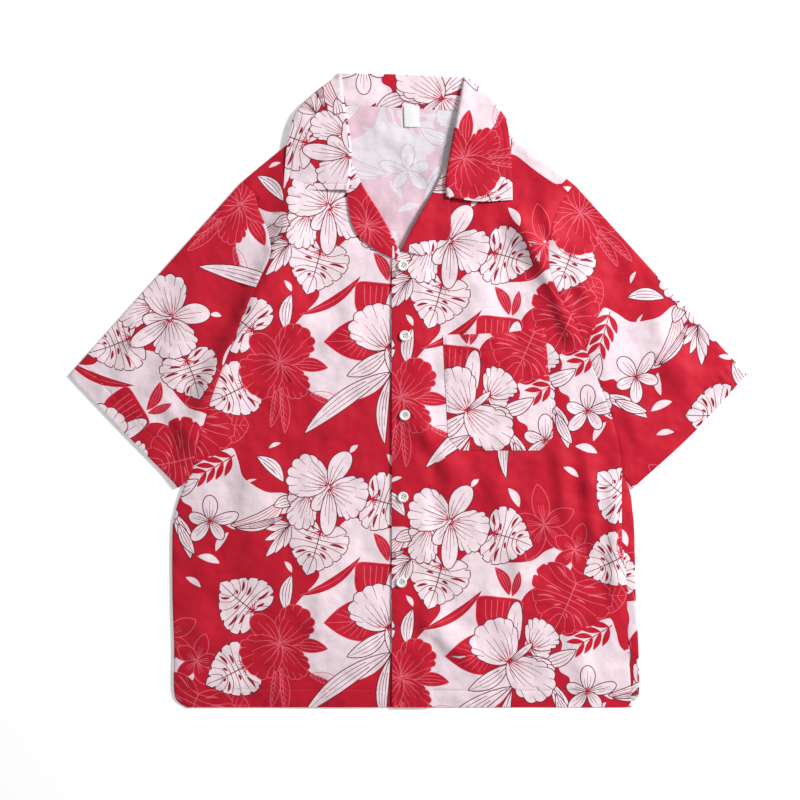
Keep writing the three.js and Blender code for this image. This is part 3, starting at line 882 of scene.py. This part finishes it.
def sliver(length, width):
    """A plain white petal seen from its edge."""
    return [(lens(length, width, 0.08), "petal")]


IN_EITHER_COLOUR = {
    "petal": petal, "ruffled petal": ruffled_petal, "monstera": monstera, "leaf": leaf,
}
IN_ONE_COLOUR = {
    "line plumeria": plumeria_lines, "line leaf": line_leaf, "red blade": blade, "red fan": fan,
    "red heart": heart, "red frond": red_frond, "frond": frond, "grass": grass, "disc": disc,
    "sliver": sliver,
}


def motif(kind, length, width, number):
    """The shapes of one motif along its own axis, each with its dye, the lowest one first."""
    if kind in IN_ONE_COLOUR:
        return IN_ONE_COLOUR[kind](length, width)
    return IN_EITHER_COLOUR[kind.removeprefix("red ")](length, width, kind.startswith("red "), number)


def simplified(outline, slack):
    """A closed outline with only the points that it needs to stay as near as the slack."""
    ring = np.vstack([outline, outline[:1]])
    far = int(np.linalg.norm(outline - outline[0], axis=1).argmax())
    kept = {0, far}
    spans = [(0, far), (far, len(outline))]
    while spans:
        first, last = spans.pop()
        if last - first < 2:
            continue
        between = ring[first + 1:last]
        away = distance(between[:, 0], between[:, 1], ring[[first, last]])
        if away.max() > slack:
            middle = first + 1 + int(away.argmax())
            kept.add(middle)
            spans += [(first, middle), (middle, last)]
    return outline[sorted(kept)]


def repeat():
    """One repeat of the print in millimetres round the big flower, +Y up."""
    art = []
    for ground in GROUNDS:
        art.append((curve([(x * PIXEL, -y * PIXEL) for x, y in ground], 4.0, closed=True), "white"))
    for number, (kind, x1, y1, x2, y2, width) in enumerate(MOTIFS):
        start, end = (x1 * PIXEL, -y1 * PIXEL), (x2 * PIXEL, -y2 * PIXEL)
        for shape, dye in motif(kind, math.dist(start, end), width * PIXEL, number):
            art.append((along(shape, start, end), dye))
    return art


SLACK = 0.1
ROUGH_SLACK = 0.8
SMALLEST_ROUGH = 9
REPEAT = [(simplified(shape, SLACK), dye) for shape, dye in repeat()]

# The same with coarser outlines and no small marks, for the side of the back that lies face down
ROUGH_REPEAT = [(simplified(shape, ROUGH_SLACK), dye) for shape, dye in REPEAT
                if np.ptp(shape, axis=0).max() > SMALLEST_ROUGH]
REACH = 190 * PIXEL  # a repeat whose flower is further than this from a piece isn't stamped on it


def stamped(loop, flower, turn=0.0, mirror=False, patches=(), rough=False):
    """The print over the area of a loop, with one big flower at a pixel of the photograph and the
    print turned by degrees round it. Patches are further white grounds, in millimetres. A rough
    print is the one with coarser outlines."""
    flower = from_pixel(*flower)
    low, high = np.min(loop, axis=0), np.max(loop, axis=0)
    c, s = math.cos(math.radians(turn)), math.sin(math.radians(turn))
    spin = np.array([[c, s], [-s, c]])
    if mirror:
        spin = np.array([[-1, 0], [0, 1]]) @ spin
    grounds, others = [(curve(patch, 6.0, closed=True), "white") for patch in patches], []
    for across in range(-3, 4):
        for down in range(-5, 6):
            shift = np.array([REPEAT_ACROSS[0] * across,
                              -(REPEAT_ACROSS[1] * across + REPEAT_DOWN * down)]) * PIXEL
            centre = shift @ spin + flower
            if np.any(centre < low - REACH) or np.any(centre > high + REACH):
                continue
            for k, (shape, dye) in enumerate(ROUGH_REPEAT if rough else REPEAT):
                placed = (shape + shift) @ spin + flower
                if np.any(placed.max(0) < low) or np.any(placed.min(0) > high):
                    continue
                (grounds if k < len(GROUNDS) else others).append((placed, dye))
    return grounds + others


# Materials

def socket(sockets, name):
    """A socket by its identifier, which tells apart those of one name, or else by its name."""
    return next((s for s in sockets if name in (s.identifier, s.name)), None)


def add(tree, kind, output, settings=(), links=()):
    """Adds a node with its settings and what is linked to it, and returns one of its outputs."""
    node = tree.nodes.new(kind)
    for name, value in dict(settings).items():
        entry = socket(node.inputs, name)
        if entry is not None:
            entry.default_value = value
        else:
            setattr(node, name, value)
    for name, source in dict(links).items():
        tree.links.new(source, socket(node.inputs, name))
    return socket(node.outputs, output)


def new_material(name, settings):
    """A material with its shader's settings, and the tree and the shader to add patterns to."""
    material = bpy.data.materials.new(name)
    material.use_nodes = True
    tree = material.node_tree
    shader = tree.nodes["Principled BSDF"]
    for entry, value in settings.items():
        shader.inputs[entry].default_value = value
    return material, tree, shader


def per_metre(size):
    """The scale of a noise whose spots are about a size in millimetres across."""
    return 1 / (size * MM)


def ridge_scale(spacing):
    """The scale of a band texture, which at scale 1 repeats every 0.314 m, for a spacing in
    millimetres."""
    return 0.314 / (spacing * MM)


def printed_viscose():
    """Plain-woven viscose challis, printed from the face and softly worn. To the eye it is matt
    with a faint sheen, its weave only shows up close, and it keeps soft rumples from folding."""
    material, tree, shader = new_material("printed_viscose", {
        "Specular IOR Level": 0.2, "Sheen Weight": 0.12, "Sheen Roughness": 0.45,
    })
    place = add(tree, "ShaderNodeTexCoord", "Object")
    dye = add(tree, "ShaderNodeAttribute", "Color", {"attribute_name": "dye"})

    # Real threads lie about 0.3 mm apart. They are drawn twice as coarse, to show in a close view.
    warp, weft = [add(tree, "ShaderNodeTexWave", "Color",
                      {"bands_direction": way, "Scale": ridge_scale(0.6)}, {"Vector": place})
                  for way in ("X", "Y")]
    weave = add(tree, "ShaderNodeMix", "Result_Color",
                {"data_type": "RGBA", "blend_type": "MULTIPLY", "Factor_Float": 0.7},
                {"A_Color": warp, "B_Color": weft})

    # Thick places in the yarn are about 4 mm long. The dye took unevenly in patches about 30 mm
    # across.
    slubs = add(tree, "ShaderNodeTexNoise", "Fac", {"Scale": per_metre(3.85), "Detail": 3.0},
                {"Vector": place})
    uneven = add(tree, "ShaderNodeTexNoise", "Fac", {"Scale": per_metre(29.4), "Detail": 4.0},
                 {"Vector": place})
    tone = add(tree, "ShaderNodeMapRange", "Result",
               {"From Min": 0.3, "From Max": 0.7, "To Min": 0.93, "To Max": 1.05},
               {"Value": uneven})
    grain = add(tree, "ShaderNodeMapRange", "Result",
                {"From Min": 0.25, "From Max": 0.75, "To Min": 0.95, "To Max": 1.04},
                {"Value": slubs})
    both = add(tree, "ShaderNodeMath", "Value", {"operation": "MULTIPLY"},
               {"Value": tone, "Value_001": grain})
    toned = add(tree, "ShaderNodeMix", "Result_Color",
                {"data_type": "RGBA", "blend_type": "MULTIPLY", "Factor_Float": 1.0},
                {"A_Color": dye, "B_Color": both})
    woven = add(tree, "ShaderNodeMix", "Result_Color",
                {"data_type": "RGBA", "blend_type": "SOFT_LIGHT", "Factor_Float": 0.12},
                {"A_Color": toned, "B_Color": weave})
    rough = add(tree, "ShaderNodeMapRange", "Result", {"To Min": 0.52, "To Max": 0.70},
                {"Value": slubs})

    # Rumples left by folding are about 45 mm across, and the ripples between them about 8 mm.
    rumples = add(tree, "ShaderNodeTexNoise", "Fac",
                  {"Scale": per_metre(45.45), "Detail": 2.0, "Roughness": 0.45}, {"Vector": place})
    ripples = add(tree, "ShaderNodeTexNoise", "Fac", {"Scale": per_metre(8.33), "Detail": 2.0},
                  {"Vector": place})
    soft = add(tree, "ShaderNodeBump", "Normal", {"Strength": 1.0, "Distance": 7.4 * MM},
               {"Height": rumples})
    finer = add(tree, "ShaderNodeBump", "Normal", {"Strength": 0.8, "Distance": 0.4 * MM},
                {"Height": ripples, "Normal": soft})
    threads = add(tree, "ShaderNodeBump", "Normal", {"Strength": 0.35, "Distance": 0.12 * MM},
                  {"Height": weave, "Normal": finer})
    tree.links.new(woven, shader.inputs["Base Color"])
    tree.links.new(rough, shader.inputs["Roughness"])
    tree.links.new(threads, shader.inputs["Normal"])
    return material


def woven_tape():
    """Polyester satin tape, woven smooth: bright white with fine ridges along it."""
    material, tree, shader = new_material("woven_tape", {"Roughness": 0.42})
    place = add(tree, "ShaderNodeTexCoord", "Object")
    dye = add(tree, "ShaderNodeAttribute", "Color", {"attribute_name": "dye"})

    # Real ridges are about 0.25 mm apart. They are drawn 0.4 mm apart, and the threads across them
    # 0.7 mm, to show in a close view.
    ridges, picks = [add(tree, "ShaderNodeTexWave", "Color",
                         {"bands_direction": way, "Scale": ridge_scale(spacing)}, {"Vector": place})
                     for way, spacing in (("X", 0.4), ("Y", 0.7))]
    weave = add(tree, "ShaderNodeMix", "Result_Color",
                {"data_type": "RGBA", "blend_type": "MULTIPLY", "Factor_Float": 0.6},
                {"A_Color": ridges, "B_Color": picks})
    woven = add(tree, "ShaderNodeMix", "Result_Color",
                {"data_type": "RGBA", "blend_type": "MULTIPLY", "Factor_Float": 0.1},
                {"A_Color": dye, "B_Color": weave})
    bump = add(tree, "ShaderNodeBump", "Normal", {"Strength": 0.4, "Distance": 0.1 * MM},
               {"Height": weave})
    tree.links.new(woven, shader.inputs["Base Color"])
    tree.links.new(bump, shader.inputs["Normal"])
    return material


def cast_resin():
    """Cast polyester resin with a pearl filler, tumble polished: milky, glossy, faintly clouded."""
    material, tree, shader = new_material("cast_resin", {
        "Coat Weight": 0.5, "Coat Roughness": 0.12,
    })
    place = add(tree, "ShaderNodeTexCoord", "Object")
    dye = add(tree, "ShaderNodeAttribute", "Color", {"attribute_name": "dye"})

    # The filler settles in clouds of two to three millimetres.
    clouds = add(tree, "ShaderNodeTexNoise", "Fac",
                 {"Scale": per_metre(2.38), "Detail": 3.0, "Distortion": 1.6}, {"Vector": place})
    tone = add(tree, "ShaderNodeMapRange", "Result",
               {"From Min": 0.3, "From Max": 0.7, "To Min": 0.84, "To Max": 1.0},
               {"Value": clouds})
    milky = add(tree, "ShaderNodeMix", "Result_Color",
                {"data_type": "RGBA", "blend_type": "MULTIPLY", "Factor_Float": 1.0},
                {"A_Color": dye, "B_Color": tone})
    rough = add(tree, "ShaderNodeMapRange", "Result", {"To Min": 0.22, "To Max": 0.38},
                {"Value": clouds})
    tree.links.new(milky, shader.inputs["Base Color"])
    tree.links.new(rough, shader.inputs["Roughness"])
    return material


VISCOSE = printed_viscose()
TAPE = woven_tape()
RESIN = cast_resin()


# Fronts

HEM_ROW_Y = HEM_Y + HEM_DEPTH
FRONT_HEM_RIGHT = [(-276, HEM_ROW_Y), (-150, HEM_ROW_Y + 1), (LAP_EDGE - 2, HEM_ROW_Y)]
FRONT_HEM_LEFT = [(LAP_EDGE + 1, HEM_ROW_Y), (120, HEM_ROW_Y - 1), (266, HEM_ROW_Y)]


def front_right():
    """The wearer's right front, which goes under the lap, with its turned-out lapel."""
    main = shell([
        ("roll", SHOULDER_LEFT),
        ("cut", [(-84, 327), (-77, 308), (-71, 291), (-68, 272)]),
        ("cut", [(-68, 272), (-62, 256), (-52, 238), (-41, 221), (-26, 195), (-15, 176)]),
        ("cut", [(-15, 176), (-4, 160), (8, 140), (UNDER_EDGE, 110), (UNDER_EDGE, HEM_Y)]),
        ("cut", [(UNDER_EDGE, HEM_Y), (-130, HEM_Y), (-265, HEM_Y)]),
        ("roll", SIDE_LEFT[::-1]),
        ("seam", [(x + SEAM, y) for x, y in ARMHOLE_LEFT[::-1]]),
    ], under_lie, {"flower": (331, 207)}, grooves=[FRONT_HEM_RIGHT])
    lapel = shell([
        ("roll", [(-66, 268), (-61, 256), (-51, 238), (-40, 221), (-30, 204), (-20, 186), (-9, 163)]),
        ("cut", [(-9, 163), (-14, 158), (-38, 169), (-60, 187), (-69, 208), (-73, 236), (-77, 262)]),
        ("cut", [(-77, 262), (-66, 268)]),
    ], raised(under_lie, LAPEL_RISE), {"flower": (418, 70)}, fall=raised(under_lie, LAPEL_SINK))
    return cloth_piece("front_right", [main, lapel, stitches(FRONT_HEM_RIGHT, under_lie)], VISCOSE)


# White ground at the shoulder, where the cut of the cloth breaks the repeat
SHOULDER_PATCH = [(112, 322), (150, 292), (186, 262), (188, 252), (178, 248), (160, 259),
                  (144, 271), (130, 282), (112, 290)]


def front_left():
    """The wearer's left front, which laps over the right one, with its turned-out lapel."""
    main = shell([
        ("roll", SHOULDER_RIGHT),
        ("cut", [(73, 326), (64, 308), (55, 291), (49, 272)]),
        ("cut", [(49, 272), (41, 256), (33, 240), (15, 208), (0, 181), (-7, 169)]),
        ("cut", [(-7, 169), (-15, 155), (LAP_EDGE, 138), (LAP_EDGE, HEM_Y)]),
        ("cut", [(LAP_EDGE, HEM_Y), (130, HEM_Y), (258, HEM_Y), (265, -377), (268, -370)]),
        ("seam", SIDE_SEAM[::-1]),
        ("seam", [(x - SEAM, y) for x, y in ARMHOLE_RIGHT[::-1]]),
    ], upper_lie, {"flower": (452, 241), "patches": [SHOULDER_PATCH]}, grooves=[FRONT_HEM_LEFT])
    lapel = shell([
        ("roll", [(47, 268), (40, 256), (32, 240), (23, 224), (14, 208), (6, 194), (-1, 180), (-7, 168)]),
        ("cut", [(-7, 168), (6, 165), (21, 163), (38, 174), (50, 188), (51, 210), (49, 236), (54, 262)]),
        ("cut", [(54, 262), (47, 268)]),
    ], raised(upper_lie, LAPEL_RISE), {"flower": (520, 150)}, fall=raised(upper_lie, LAPEL_SINK))
    return cloth_piece("front_left", [main, lapel, stitches(FRONT_HEM_LEFT, upper_lie)], VISCOSE)


# Sleeves

# Waves along a sleeve's hem, about 12 mm long: 2 pi times "wave"
PUCKER = {"height": 0.42, "reach": 9, "wave": 1.9, "drift": 23, "swell": 31}


def sleeve(name, side, armhole, top, bottom, bulge, stamp):
    """A sleeve laid flat: its upper layer with the folds at both long edges, and its under one."""
    seam = [(x + side * SEAM, y) for x, y in armhole]
    middle = ((top[0] + bottom[0]) / 2 + side * bulge, (top[1] + bottom[1]) / 2 - bulge / 2)
    upper_fold = [top, ((top[0] + seam[0][0]) / 2, (top[1] + seam[0][1]) / 2), seam[0]]
    under_fold = [seam[-1], bottom]
    cuff = [bottom, middle, top]
    across = np.array([top[0] - bottom[0], top[1] - bottom[1]], float)
    along_cuff = across / np.linalg.norm(across)
    inward = np.array([-across[1], across[0]]) / np.linalg.norm(across) * side * HEM_DEPTH
    hem = [np.array(bottom) + inward + across * 0.01, np.array(middle) + inward,
           np.array(top) + inward - across * 0.01]

    def puckered(x, y):
        """The lie with the small waves that the hem's stitches draw into the cloth."""
        run = x * along_cuff[0] + y * along_cuff[1]
        wave = np.sin(run / PUCKER["wave"] + 1.4 * np.sin(run / PUCKER["drift"]))
        wave = wave * (0.6 + 0.4 * np.sin(run / PUCKER["swell"]))
        fade = np.exp(-(distance(x, y, hem) / PUCKER["reach"]) ** 2)
        return sleeve_lie(x, y) + PUCKER["height"] * wave * fade

    over = shell([("roll", upper_fold), ("seam", seam), ("roll", under_fold), ("cut", cuff)],
                 puckered, stamp, step=4, grooves=[hem])
    under = shell([("cut", upper_fold), ("cut", seam), ("cut", under_fold), ("cut", cuff)],
                  level(REST), {**stamp, "mirror": True}, step=8, back="red", face_down=True)
    return cloth_piece(name, [over, under, stitches(hem, puckered)], VISCOSE)


# Back

def back():
    """The back, face down under everything, and the strip of it that turns up at the right side."""
    main = shell([
        ("cut", [(-72, 342), (-36, 341), (-5, 339), (60, 335)]),
        ("cut", [(60, 335)] + [(x, y - 1) for x, y in SHOULDER_RIGHT[::-1]][1:]),
        ("cut", ARMHOLE_RIGHT),
        ("cut", [(x - 4, y) for x, y in SIDE_RIGHT]),
        ("cut", [(257, HEM_Y), (0, HEM_Y), (-261, HEM_Y)]),
        ("cut", [(x + 4, y) for x, y in SIDE_LEFT[::-1]]),
        ("cut", ARMHOLE_LEFT[::-1]),
        ("cut", [(x, y - 1) for x, y in SHOULDER_LEFT[:-1]] + [(-72, 342)]),
    ], back_lie, {"flower": (287, 136), "mirror": True, "rough": True}, step=9, back="red",
        face_down=True)
    strip = shell([
        ("seam", SIDE_SEAM),
        ("cut", [(268, -370), (273, -370)]),
        ("roll", SIDE_RIGHT[-2::-1]),
    ], under_lie, {"flower": (560, 560)})
    return cloth_piece("back", [main, strip], VISCOSE)


# Collar

LEAF_UP = [
    # y, height at the roll line, height at the outer edge
    (228, 8.5, 5.4), (243, 8.6, 5.4), (276, 8.9, 6.2), (298, 10.0, 7.0), (322, 10.0, 7.0),
    (346, 9.2, 6.2), (364, 7.6, 4.8), (380, 3.4, 2.4),
]


def leaf_lie(inner, outer):
    """The lie of a collar leaf, from its roll line to its outer edge."""
    inner = curve(inner)
    outer = curve(outer)
    order_in, order_out = np.argsort(inner[:, 1]), np.argsort(outer[:, 1])
    rows = np.array(LEAF_UP)

    def lie(x, y):
        left = np.interp(y, inner[order_in, 1], inner[order_in, 0])
        right = np.interp(y, outer[order_out, 1], outer[order_out, 0])
        t = np.clip((x - left) / np.where(abs(right - left) < 3, 1e3, right - left), 0, 1)
        high, low = np.interp(y, rows[:, 0], rows[:, 1]), np.interp(y, rows[:, 0], rows[:, 2])
        return high + (low - high) * t

    return lie


LEAF_BACK_Y = 318  # behind this line the leaves hang past the shoulders
ON_FRONTS = 4.5  # in front of it their rolled edges stop here
STAND_HEIGHT = 2.9  # middle of the stand's cloth


def leaf_fall(x, y):
    """Behind the neck the leaves roll down to the table, and in front they lie on the fronts."""
    return np.where(y > LEAF_BACK_Y, FLOOR_GAP, ON_FRONTS)


def collar():
    """Two turned-down leaves with the stand between them, and the fall below at the back."""
    left_in = [(-73, 241), (-71, 262), (-70, 290), (-74, 320), (-79, 349), (-82, 379)]
    left_over = [(-82, 379), (-89, 373), (-112, 354), (-131, 335), (-139, 318)]
    left_out = [(-139, 318), (-143, 302), (-146, 280), (-149, 243)]
    right_in = [(48, 232), (47, 253), (53, 289), (62, 337), (69, 376)]
    right_over = [(69, 376), (88, 360), (104, 343), (116, 325)]
    right_out = [(116, 325), (120, 312), (124, 264), (125, 229)]
    left_lie = leaf_lie(left_in, left_over + left_out[1:])
    left_rows = [[(-133, 314), (-137, 300), (-139, 280), (-142, 252)],
                 [(-141, 249), (-110, 248), (-77, 248)]]
    left = shell([
        ("roll", left_in), ("roll", left_over), ("cut", left_out),
        ("cut", [(-149, 243), (-110, 241), (-73, 241)]),
    ], left_lie, {"flower": (350, 158), "turn": -95}, fall=leaf_fall, grooves=left_rows)
    right_lie = leaf_lie(right_in, right_over + right_out[1:])
    right_rows = [[(110, 320), (113, 308), (117, 264), (118, 238)],
                  [(117, 235), (86, 234), (53, 239)]]
    right = shell([
        ("roll", right_in), ("roll", right_over), ("cut", right_out),
        ("cut", [(125, 229), (86, 227), (48, 232)]),
    ], right_lie, {"flower": (308, 108), "turn": 90}, fall=leaf_fall, grooves=right_rows)
    rows = [stitches(line, left_lie) for line in left_rows]
    rows += [stitches(line, right_lie) for line in right_rows]
    stand = shell([
        ("roll", [(-84, 380), (-40, 379), (0, 378), (40, 376), (70, 374)]),
        ("cut", [(70, 374), (66, 350), (62, 337)]),
        ("seam", [(62, 336), (48, 336.4), (16, 338.1), (-5, 339.2), (-46, 341.3), (-74, 343)]),
        ("cut", [(-74, 343), (-78, 360), (-84, 380)]),
    ], level(STAND_HEIGHT), {"flower": (499, 239), "turn": 180})
    fall = shell([
        ("cut", [(-80, 379), (-40, 378), (0, 377), (40, 375), (66, 373)]),
        ("cut", [(66, 373), (90, 350), (110, 320)]),
        ("cut", [(110, 318), (66, 307), (-6, 303), (-84, 308), (-112, 314)]),
        ("cut", [(-112, 314), (-100, 350), (-80, 379)]),
    ], level(REST), {"flower": (420, 100), "mirror": True}, step=8, back="red", face_down=True)
    return cloth_piece("collar", [left, right, stand, fall] + rows, VISCOSE)


# Pocket

POCKET_TOP = [(42, 67), (85, 68), (116, 70), (134, 72), (164, 77)]
POCKET_SIDES = [(164, 77), (168, 30), (172, -10), (173, -55), (158, -71), (110, -71), (62, -71),
                (48, -55), (42, 67)]
POCKET_RISE = 1.1  # over the middle of the front's cloth
POCKET_CENTRE = (108.0, 0.0)
POCKET_EDGE_ROW = (0.972, 0.975)  # the row along the edge, as shares of the way from the centre
MOUTH = {"gape": 0.5, "place": (106, 66), "reach": (46, 20)}


def pocket():
    """A patch with its lower corners cut off, sewn close to its edges, with a hem at its mouth."""
    centre = np.array(POCKET_CENTRE)
    edge_row = [tuple(centre + (np.array(p) - centre) * POCKET_EDGE_ROW) for p in POCKET_SIDES]
    hem_row = [(44, 45), (105, 48), (165, 54)]
    corners = list(zip(POCKET_SIDES, POCKET_SIDES[1:]))

    def lie(x, y):
        across = (x - MOUTH["place"][0]) / MOUTH["reach"][0]
        down = (y - MOUTH["place"][1]) / MOUTH["reach"][1]
        return upper_lie(x, y) + POCKET_RISE + MOUTH["gape"] * np.exp(-(across ** 2 + down ** 2))

    rows = [[a, b] for a, b in zip(edge_row, edge_row[1:])] + [hem_row]
    body = shell([("cut", POCKET_TOP)] + [("seam", [a, b]) for a, b in corners],
                 lie, {"flower": (410, 270)}, step=4.0, grooves=rows)
    return cloth_piece("pocket", [body] + [stitches(row, lie) for row in rows], VISCOSE)


# Buttons

BUTTONS = [(-6, 150, 12), (-4, 66, 40), (-4, -29, -8), (-6, -127, 25), (-8, -229, 3)]  # x, y, turn
BUTTON_FACE = [
    # radius, height over the button's back
    (0.0, 1.35), (2.9, 1.35), (3.4, 1.45), (3.9, 1.75), (4.4, 2.05), (4.9, 2.18), (5.4, 2.2),
    (5.9, 2.05), (6.2, 1.75), (6.4, 1.3),
]
BUTTON_RADIUS = BUTTON_FACE[-1][0]
BUTTON_SIDES = 48
BACK_SHARE = 0.94  # the back's edge is drawn in to this share of the face's
HOLE = {"radius": 0.85, "out": 1.8, "sides": 14, "rim": 0.25, "rim_drop": 0.16, "rim_width": 0.14}

# Widths and heights over the button's back of the thread in the holes and of what is below it
THREAD_SEEN = {"width": 0.5, "height": 1.5}
SHANK = {"width": 1.4, "height": -0.2}
SHANK_RISE = 0.45  # the button's back over the cloth


def circle(radius, count, centre=(0.0, 0.0)):
    angle = np.arange(count) / count * 2 * math.pi
    return np.column_stack([centre[0] + radius * np.cos(angle), centre[1] + radius * np.sin(angle)])


def button_disc():
    """A dished disc with a round rim and four holes: vertices and faces in millimetres."""
    centres = circle(HOLE["out"], 4)
    points, edges, count = [], [], 0
    holes = [circle(HOLE["radius"], HOLE["sides"], centre) for centre in centres]
    for ring in [circle(BUTTON_RADIUS, BUTTON_SIDES)] + holes:
        points.append(ring)
        edges += ring_edges(count, len(ring))
        count += len(ring)
    points += [circle(radius, BUTTON_SIDES) for radius, _ in BUTTON_FACE[1:-1]]
    points += [circle(HOLE["radius"] + HOLE["rim"], HOLE["sides"], c) for c in centres]
    flat, faces = triangulate(np.vstack(points), edges)
    middle = flat[faces].mean(axis=1)
    away = np.min([np.linalg.norm(middle - c, axis=1) for c in centres], axis=0)
    faces = faces[away > HOLE["radius"] * 0.97]
    radius = np.linalg.norm(flat, axis=1)
    table = np.array(BUTTON_FACE)
    rim_near = np.min([np.linalg.norm(flat - c, axis=1) for c in centres], axis=0) - HOLE["radius"]
    rounded = HOLE["rim_drop"] * np.exp(-((rim_near / HOLE["rim_width"]) ** 2))
    high = np.interp(radius, table[:, 0], table[:, 1]) - rounded
    under = flat * np.where(radius > BUTTON_FACE[-2][0], BACK_SHARE, 1.0)[:, None]
    verts = np.vstack([np.column_stack([flat, high]), np.column_stack([under, 0 * high])])
    count = len(flat)
    owner = {(a, b) for f in faces.tolist() for a, b in zip(f, f[1:] + f[:1])}
    walls = []
    for a, b in owner:
        if (b, a) not in owner:
            walls += [(b, a, a + count), (b, a + count, b + count)]
    return verts, np.vstack([faces, faces[:, ::-1] + count, np.array(walls)])


def bar(start, end, width, high):
    """A short length of thread with its ends turned down."""
    verts, faces = [], []
    ahead = (np.array(end) - start) / math.dist(start, end)
    side = np.array([-ahead[1], ahead[0]])
    stations = [(0.0, -1.0), (0.12, -0.1), (0.3, 0.1), (0.7, 0.1), (0.88, -0.1), (1.0, -1.0)]
    for share, lift in stations:
        middle = np.array(start) + (np.array(end) - start) * share
        for turn in range(6):
            angle = turn * math.pi / 3
            aside = side * math.cos(angle) * width / 2
            verts.append((*(middle + aside), high + lift + math.sin(angle) * width / 2))
    for k in range(len(stations) - 1):
        for turn in range(6):
            a, b = k * 6 + turn, k * 6 + (turn + 1) % 6
            faces += [(a, a + 6, b), (b, a + 6, b + 6)]
    last = len(verts) - 6
    for turn in range(1, 5):
        faces += [(0, turn, turn + 1), (last, last + turn + 1, last + turn)]
    return np.array(verts), np.array(faces)


def button(number, x, y, turn):
    """One button with the thread that holds it: two bars over its face and a shank below."""
    face = button_disc()
    centres = circle(HOLE["out"], 4)
    bars = [bar(centres[a], centres[b], *THREAD_SEEN.values()) for a, b in ((0, 1), (3, 2))]
    shank = bar(centres[0] * 0.4, centres[2] * 0.4, *SHANK.values())
    c, s = math.cos(math.radians(turn)), math.sin(math.radians(turn))
    base = float(upper_lie(x, y)) + CLOTH / 2 + SHANK_RISE
    shells = []
    for k, (verts, faces) in enumerate([face, *bars, shank]):
        placed = verts @ np.array([[c, s, 0], [-s, c, 0], [0, 0, 1]]) + (x, y, base)
        dye = "resin" if k == 0 else "tape"
        shells.append((placed, faces, np.full(len(faces), dye, dtype=object)))
    return cloth_piece(f"button_{number}", shells, RESIN)


# Neck label

LABEL_CLOTH = 0.3  # thickness of the tape
LABEL_OVER = 3.75  # middle of its upper layer
LABEL_UNDER = 3.05  # middle of its under layer
LABEL_ROLL = 3.0  # its fold comes down to here
LABEL_BOW = 0.35
LABEL_DIP = 0.5


def neck_label():
    """A blank tape, folded double at its lower end, whose upper end is in the neck seam."""
    sides = [(-5, 344), (13, 341), (13.4, 317), (-4, 316)]

    def lie(x, y):
        """Bowed across the tape, and pulled down towards the seam."""
        bow = LABEL_BOW * np.sin((x + 5) / 18 * math.pi)
        return LABEL_OVER + bow - LABEL_DIP * smooth((y - 334) / 8)

    over = shell([
        ("cut", [sides[0], sides[1]]), ("cut", [sides[1], sides[2]]),
        ("roll", [sides[2], sides[3]]), ("cut", [sides[3], sides[0]]),
    ], lie, base="tape", step=1.5, thick=LABEL_CLOTH, fall=LABEL_ROLL, back="tape")
    under = shell([
        ("cut", [sides[0], sides[1]]), ("cut", [sides[1], sides[2]]),
        ("cut", [sides[2], sides[3]]), ("cut", [sides[3], sides[0]]),
    ], level(LABEL_UNDER), base="tape", step=3.0, thick=LABEL_CLOTH, back="tape")
    return cloth_piece("neck_label", [over, under], TAPE)


PIECES = {
    "front_right": front_right(),
    "front_left": front_left(),
    "sleeve_right": sleeve("sleeve_right", -1, ARMHOLE_LEFT, (-405, 19), (-276, -114), 1,
                           {"flower": (172, 320), "turn": -53}),
    "sleeve_left": sleeve("sleeve_left", 1, ARMHOLE_RIGHT, (405, 19), (270, -116), 4,
                          {"flower": (513, 64), "turn": 42.5}),
    "back": back(),
    "collar": collar(),
    "pocket": pocket(),
}
for node, piece in PIECES.items():
    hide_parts(node)

LABEL = neck_label()
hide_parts("neck_label")
for number, (x, y, turn) in enumerate(BUTTONS, start=1):
    piece = button(number, x, y, turn)
    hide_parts(f"button_{number}")


# Table, camera and light, in metres

def white_paper():
    """Matt background paper, lit so evenly that it shows almost no tone. A little light of its own
    stands for that."""
    return new_material("white_paper", {
        "Base Color": linear("#FBFBFB"), "Roughness": 0.9,
        "Emission Color": (1, 1, 1, 1), "Emission Strength": 0.2,
    })[0]


def table_top():
    mesh = bpy.data.meshes.new("table_top")
    half = 2.4
    mesh.from_pydata([(-half, -half, 0), (half, -half, 0), (half, half, 0), (-half, half, 0)], [],
                     [(0, 1, 2, 3)])
    top = bpy.data.objects.new("table_top", mesh)
    bpy.context.collection.objects.link(top)
    mesh.materials.append(white_paper())


CAMERA_HEIGHT = 2.2
FIELD = 0.96  # width of what the camera sees at the table
AIM = (-9.6 * MM, -10.8 * MM)
WORLD_LIGHT = 0.30


def camera():
    """A camera that looks straight down."""
    data = bpy.data.cameras.new("camera")
    data.sensor_width = 36
    data.lens = data.sensor_width * CAMERA_HEIGHT / FIELD
    eye = bpy.data.objects.new("camera", data)
    eye.location = (*AIM, CAMERA_HEIGHT)
    bpy.context.collection.objects.link(eye)
    bpy.context.scene.camera = eye


def soft_light(name, place, size, power):
    """A round lamp that shines at the shirt's middle."""
    data = bpy.data.lights.new(name, "AREA")
    data.shape = "DISK"
    data.size = size
    data.energy = power
    lamp = bpy.data.objects.new(name, data)
    lamp.location = place
    lamp.rotation_euler = (-Vector(place)).to_track_quat("-Z", "Y").to_euler()
    bpy.context.collection.objects.link(lamp)


def studio():
    """A key light from the upper right, as in the photograph, a weak fill and an even world."""
    bpy.context.scene.view_settings.view_transform = "Standard"
    world = bpy.data.worlds.new("studio")
    world.use_nodes = True
    background = world.node_tree.nodes["Background"]
    background.inputs["Color"].default_value = (1, 1, 1, 1)
    background.inputs["Strength"].default_value = WORLD_LIGHT
    bpy.context.scene.world = world
    soft_light("key", (2.5, 1.33, 1.75), 0.88, 149)
    soft_light("fill", (-0.8, 0.6, 2.2), 1.6, 5)


table_top()
camera()
studio()
